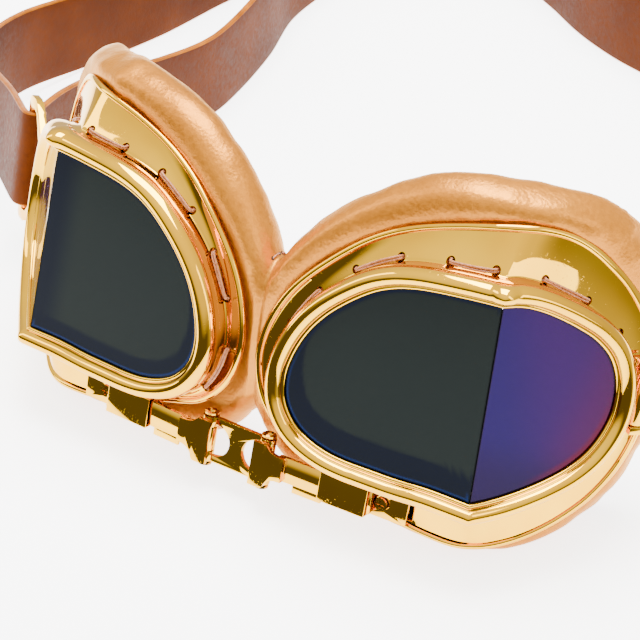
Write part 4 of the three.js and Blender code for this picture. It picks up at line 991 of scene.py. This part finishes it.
# ------------------------------------------------------------------ lace
def lace(side, sgn):
    unwrap = [s - 1 if s > 0.7 else s for s in HOLE_S]
    parts = []
    for strand, dq in enumerate((-0.3, 0.3)):
        pts = []
        over, under = 0.62, -FLANGE_T - 0.75
        for i in range(len(unwrap) - 1):
            front = i % 2 == 1
            dn = over if front else under
            a, b = unwrap[i], unwrap[i + 1]
            for k in range(0, 9):
                t = k / 8
                s = a + (b - a) * t
                st = station_at(s)
                lift = dn + (0.22 * math.sin(math.pi * t) if front else -0.1)
                q = HOLE_Q + dq * (0.75 + 0.35 * math.sin(math.pi * t + strand)) - (0.2 * math.sin(math.pi * t) if front else 0)
                if k in (0, 8):
                    lift = dn * 0.35
                pts.append(at(st, q, flange_face(s, HOLE_Q) + lift))
        P = catmull(pts, per=3)
        parts.append(tube_mesh(W(P, sgn), 0.00029, 8))
    o = joined(side + "_lace_thread", parts, [THREAD])
    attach(o, side + "_cup")
    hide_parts(side + "_lace")


lace("left", 1)
lace("right", -1)

# ------------------------------------------------------------------ strap
Hh = unit(A3(E2[0], E2[1], 0))
PIN_AT = MID + E2 * LOOP_PIN_W + N2 * LOOP_PIN_N
PIN_AT[2] = LOOP_Z
LD = A3(math.cos(rad(LOOP_DIR)), math.sin(rad(LOOP_DIR)), 0)
LT = A3(math.sin(rad(LOOP_DIR)), -math.cos(rad(LOOP_DIR)), 0)
LEAN_UP = D(UP)


def bar_point(sgn, r, t):
    p = PIN_AT + LD * r + LT * t
    x, y, z = sgn * p[0], p[1], p[2]
    return A3(x, y * CL + z * SL, -y * SL + z * CL + LIFT)


SH = STRAP_W / 2 + 0.05
RUN_LEFT = [[111, 60, 27.1], [119, 82, 20.6], [120, 108, 15.3], [112, 135, SH], [94, 163, SH], [66, 187, SH], [34, 203, SH], [6, 215, SH]]
RUN_BACK = [[-12, 221.5, SH], [-28, 230, SH], [-42, 240, SH], [-57, 248.5, SH], [-76, 252, SH]]
BUCKLE_A, BUCKLE_B = A3(-94, 245.5, SH), A3(-122, 217.5, SH)
RUN_OUTER = [[-129.5, 205.5, SH], [-134.5, 187, SH], [-139, 160, SH], [-146, 132, 13.2], [-150.5, 106, 16.2], [-145, 84, 20.4], [-130, 65.5, 25.1], [-113, 52.5, 29.05]]
RUN_INNER = [[-99, 57.5, 29.4], [-101.5, 78, 24.1], [-100, 104, 16.8], [-98.8, 130, SH], [-103, 163, SH], [-110, 190, SH]]
B_SIDE = unit(BUCKLE_A - BUCKLE_B)
B_IN = A3(B_SIDE[1], -B_SIDE[0], 0)
END_A, END_B = BUCKLE_B + B_SIDE * 13.2 + B_IN * 4.1, BUCKLE_B + B_SIDE * 26.4 + B_IN * 4.1


def strap_path():
    P, U, marks = [], [], {}
    up_z = A3(0, 0, 1)

    def push(v, up):
        P.append(np.array(v, float))
        U.append(unit(np.array(up, float)))

    def run(pts, n):
        c = catmull(pts, per=40)
        v, _, _ = resample(c, np.arange(1, n) / n)
        for p in v:
            t = min(1, max(0, (p[2] - SH) / (30 - SH)))
            push(p, up_z * (1 - t) + LEAN_UP * t)

    for r, t in [(34.5, -1.05), (30, -1.05), (26.5, -1.1), (23.5, -1.6), (20.9, -2.35)]:
        push(bar_point(1, r, t), LEAN_UP)
    for a in (15, 30, 45, 60, 75, 90, 105, 120, 135, 150, 165):
        push(bar_point(1, BAR_R - 2.85 * math.sin(rad(a)), -2.35 * math.cos(rad(a))), LEAN_UP)
    for r, t in [(20.9, 2.35), (23.5, 1.6), (26.5, 1.1), (30, 1.05), (34.5, 1.05)]:
        push(bar_point(1, r, t), LEAN_UP)
    marks["left_out"] = len(P) - 1
    run([bar_point(1, 34.5, 1.05)] + [A3(*p) for p in RUN_LEFT + RUN_BACK] + [BUCKLE_A], 150)
    push(BUCKLE_A, up_z)
    for k in range(1, 12):
        push(BUCKLE_A + (BUCKLE_B - BUCKLE_A) * k / 12, up_z)
    push(BUCKLE_B, up_z)
    marks["buckle"] = len(P) - 1
    run([BUCKLE_B] + [A3(*p) for p in RUN_OUTER] + [bar_point(-1, 21.2, 2.3)], 100)
    marks["right_outer"] = len(P) - 4
    push(bar_point(-1, 21.2, 2.3), LEAN_UP)
    for a in (165, 150, 135, 120, 105, 90, 75, 60, 45, 30, 15):
        push(bar_point(-1, BAR_R - 2.85 * math.sin(rad(a)), -2.35 * math.cos(rad(a))), LEAN_UP)
    push(bar_point(-1, 21.2, -2.3), LEAN_UP)
    marks["right_inner"] = len(P) + 3
    run([bar_point(-1, 21.2, -2.3)] + [A3(*p) for p in RUN_INNER] + [END_A], 90)
    for k in range(0, 7):
        push(END_A + (END_B - END_A) * k / 6, up_z)
    return np.array(P), np.array(U), marks


SP, SU, MARK = strap_path()
SEG = np.linalg.norm(np.diff(SP, axis=0), axis=1)
CUM = np.concatenate([[0], np.cumsum(SEG)])
STRAP_LEN = CUM[-1]
PROFILE = []
for cx, cy, a0 in ((12.02, 0.42, 0), (-12.02, 0.42, 90), (-12.02, -0.42, 180), (12.02, -0.42, 270)):
    for k in range(4):
        a = rad(a0 + 30 * k)
        PROFILE.append((cx + 0.48 * math.cos(a), cy + 0.48 * math.sin(a)))
_flat = []
for i, (a, b) in enumerate(PROFILE):
    _flat.append((a, b))
    if i == 3:
        _flat += [(8, 0.9), (4, 0.9), (0, 0.9), (-4, 0.9), (-8, 0.9)]
    if i == 11:
        _flat += [(-8, -0.9), (-4, -0.9), (0, -0.9), (4, -0.9), (8, -0.9)]
PROFILE = _flat


def strap_frame():
    t = np.zeros_like(SP)
    t[1:-1] = SP[2:] - SP[:-2]
    t[0], t[-1] = SP[1] - SP[0], SP[-1] - SP[-2]
    t /= np.linalg.norm(t, axis=1, keepdims=True)
    up = SU - t * (SU * t).sum(1)[:, None]
    up /= np.linalg.norm(up, axis=1, keepdims=True)
    return t, up, np.cross(t, up)


ST_T, ST_UP, ST_N = strap_frame()


def strap_piece(name, c0, c1):
    """strap between two distances along its middle line"""
    k = [c0] + [c for c in CUM if c0 + 0.05 < c < c1 - 0.05] + [c1]
    get = lambda arr: np.stack([np.interp(k, CUM, arr[:, j]) for j in range(3)], -1)
    P, U, Nn = get(SP), get(ST_UP), get(ST_N)
    U /= np.linalg.norm(U, axis=1, keepdims=True)
    Nn /= np.linalg.norm(Nn, axis=1, keepdims=True)
    V = []
    m = len(PROFILE)
    for kk, (p, u, n) in enumerate(zip(P, U, Nn)):
        wob = 0.10 * noise.noise(Vector((k[kk] * 0.07, 0.3, 0.0)))
        for a, b in PROFILE:
            V.append(p + u * a + n * (b + wob))
    V = np.array(V)
    V[:, 2] = np.maximum(V[:, 2], 0.02)
    faces = grid_faces(len(P), m, False, True)
    idx = []
    for i in range(len(P) - 1):
        for j in range(m):
            a = (abs(PROFILE[j][0]) + abs(PROFILE[(j + 1) % m][0])) / 2
            idx.append(1 if a > 12.0 else 0)
    faces.append(tuple(range(m)))
    faces.append(tuple((len(P) - 1) * m + j for j in range(m))[::-1])
    idx += [1, 1]
    o = mesh_object(name, S(V), faces, [STRAP_MAT, EDGE_MAT], True, idx)
    outward(o)
    o.data.set_sharp_from_angle(angle=rad(55))
    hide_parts("strap")
    return o


def strap_run(name, c0, c1):
    o = strap_piece(name, c0, c1)
    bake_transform(o)
    return o


cL = CUM[MARK["left_out"]]
cRo = CUM[MARK["right_outer"]]
cRi = CUM[MARK["right_inner"]]
cB = CUM[MARK["buckle"]]
cEndA = STRAP_LEN - np.linalg.norm(END_B - END_A)
p = strap_piece("strap_left_fold", 0.0, cL)
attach(p, "left_loop")
strap_run("strap_left_a", cL, cL + 40)
strap_run("strap_left_b", cL + 40, cL + 58)
strap_run("strap_left_c", cL + 58, cL + 138)
p = strap_piece("strap_back", cL + 138, cRo - 138)
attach(p, "bridge")
strap_run("strap_outer_c", cRo - 138, cRo - 58)
strap_run("strap_outer_b", cRo - 58, cRo - 40)
strap_run("strap_outer_a", cRo - 40, cRo)
p = strap_piece("strap_right_fold", cRo, cRi)
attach(p, "right_loop")
strap_run("strap_inner_a", cRi, cRi + 36)
strap_run("strap_inner_b", cRi + 36, cRi + 52)
strap_run("strap_inner_c", cRi + 52, cRi + 110)
strap_run("strap_inner_d", cRi + 110, cEndA - 1)
p = strap_piece("strap_tail", cEndA - 1, STRAP_LEN)
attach(p, "buckle")

# ------------------------------------------------------------------ finishes on the CAD hardware
slots = {"pane_bar": (RUBBER, 0, "black_rubber"), "gasket": (RUBBER, 0, "black_rubber"), "base_plate": (GOLD, 0.14, "gold_plate"),
         "keeper": (GOLD, 0.22, "gold_plate"), "clamp_screw": (GOLD_DARK, 0, "fastener_gold"), "arm": (GOLD, 0.14, "gold_plate"),
         "hinge_pin": (GOLD_DARK, 0, "fastener_gold"), "loop_bracket": (GOLD, 0.14, "gold_plate"), "loop_pin": (GOLD_DARK, 0.1, "fastener_gold"),
         "strap_loop": (GOLD, 0.35, "gold_plate"), "bridge_link": (GOLD, 0.16, "gold_plate"), "strap_buckle": (GOLD, 0.16, "gold_plate"),
         "strap_rivet_upper": (GOLD_DARK, 0.15, "fastener_gold"), "strap_rivet_lower": (GOLD_DARK, 0.15, "fastener_gold")}
for name, o in N.items():
    key = name.split("_", 1)[1] if name.split("_", 1)[0] in ("left", "right") else name
    if key not in slots or o.hide_render:
        continue
    mat, bev, sl = slots[key]
    o.data.materials.clear()
    o.data.materials.append(mat)
    for slot_ in o.material_slots:
        slot_.link = "DATA"
        slot_.material = mat
    if bev:
        wd = o.modifiers.new("weld", "WELD")
        wd.merge_threshold = 0.00001
        b = o.modifiers.new("bevel", "BEVEL")
        b.width, b.segments, b.limit_method, b.angle_limit = bev * 0.001, 3, "ANGLE", rad(35)
        b.use_clamp_overlap = True
        b.harden_normals = False
    o.data.polygons.foreach_set("use_smooth", [True] * len(o.data.polygons))
    o.data.set_sharp_from_angle(angle=rad(35))

# ------------------------------------------------------------------ floor, light, camera
fl_m, nt, b = new_mat("pale_floor")
b.inputs["Base Color"].default_value = (0.96, 0.96, 0.96, 1)
b.inputs["Roughness"].default_value = 0.9
b.inputs["Specular IOR Level"].default_value = 0.1
b.inputs["Emission Color"].default_value = (1.0, 1.0, 1.0, 1)
b.inputs["Emission Strength"].default_value = 3.6
floor = mesh_object("floor", [(-3, -3, 0), (3, -3, 0), (3, 3, 0), (-3, 3, 0)], [(0, 1, 2, 3)], [fl_m], False)


def area(name, loc, target, size, size_y, power, colour=(1, 1, 1)):
    l = bpy.data.lights.new(name, "AREA")
    l.shape, l.size, l.size_y, l.energy, l.color = "RECTANGLE", size, size_y, power, colour
    o = bpy.data.objects.new(name, l)
    bpy.context.scene.collection.objects.link(o)
    o.location = loc
    o.rotation_euler = (Vector(target) - Vector(loc)).to_track_quat("-Z", "Y").to_euler()
    return o


key = area("key", (-0.04, 0.08, 0.78), (-0.02, 0.0, 0.0), 0.5, 0.5, 20)
ls = area("left_strip", (-0.55, -0.25, 0.42), (0.0, -0.08, 0.03), 0.16, 0.55, 2.2)
rs = area("right_strip", (0.62, -0.10, 0.45), (0.05, -0.08, 0.03), 0.14, 0.5, 1.4)

world = bpy.data.worlds.new("studio")
bpy.context.scene.world = world
world.use_nodes = True
nt = world.node_tree
nt.nodes.clear()
out = nt.nodes.new("ShaderNodeOutputWorld")
bg = nt.nodes.new("ShaderNodeBackground")
tc = nt.nodes.new("ShaderNodeTexCoord")
sep = nt.nodes.new("ShaderNodeSeparateXYZ")
nt.links.new(tc.outputs["Generated"], sep.inputs[0])
# bright overhead, dim towards the horizon and dimmest in front of the goggles


def spread(value, lo, hi, a, b):
    m = nt.nodes.new("ShaderNodeMapRange")
    m.interpolation_type = "SMOOTHSTEP"
    for k, x in (("From Min", lo), ("From Max", hi), ("To Min", a), ("To Max", b)):
        m.inputs[k].default_value = x
    nt.links.new(value, m.inputs["Value"])
    return m.outputs["Result"]


low = spread(sep.outputs[1], -0.55, 0.25, 0.17, 1.3)
high = spread(sep.outputs[2], 0.60, 1.0, 1.9, 2.5)
rise = spread(sep.outputs[2], 0.30, 0.60, 0.0, 1.0)
mix = nt.nodes.new("ShaderNodeMix")
mix.data_type = "FLOAT"
nt.links.new(rise, mix.inputs[0])
nt.links.new(low, mix.inputs[2])
nt.links.new(high, mix.inputs[3])
nt.links.new(mix.outputs[0], bg.inputs["Strength"])
bg.inputs["Color"].default_value = (1.0, 1.0, 1.0, 1)
nt.links.new(bg.outputs[0], out.inputs[0])

cam_data = bpy.data.cameras.new("camera")
cam_data.lens, cam_data.sensor_width = 113.67, 36
cam_data.clip_start, cam_data.clip_end = 0.01, 20
cam = bpy.data.objects.new("camera", cam_data)
bpy.context.scene.collection.objects.link(cam)
cam.matrix_world = Matrix(((0.849493, -0.317935, 0.421045, (200.84 + XS) * 0.001),
                           (0.527600, 0.511967, -0.677885, (-293.79 + YS) * 0.001),
                           (0.0, 0.798002, 0.602654, (270.63 + LIFT) * 0.001), (0, 0, 0, 1)))
bpy.context.scene.camera = cam
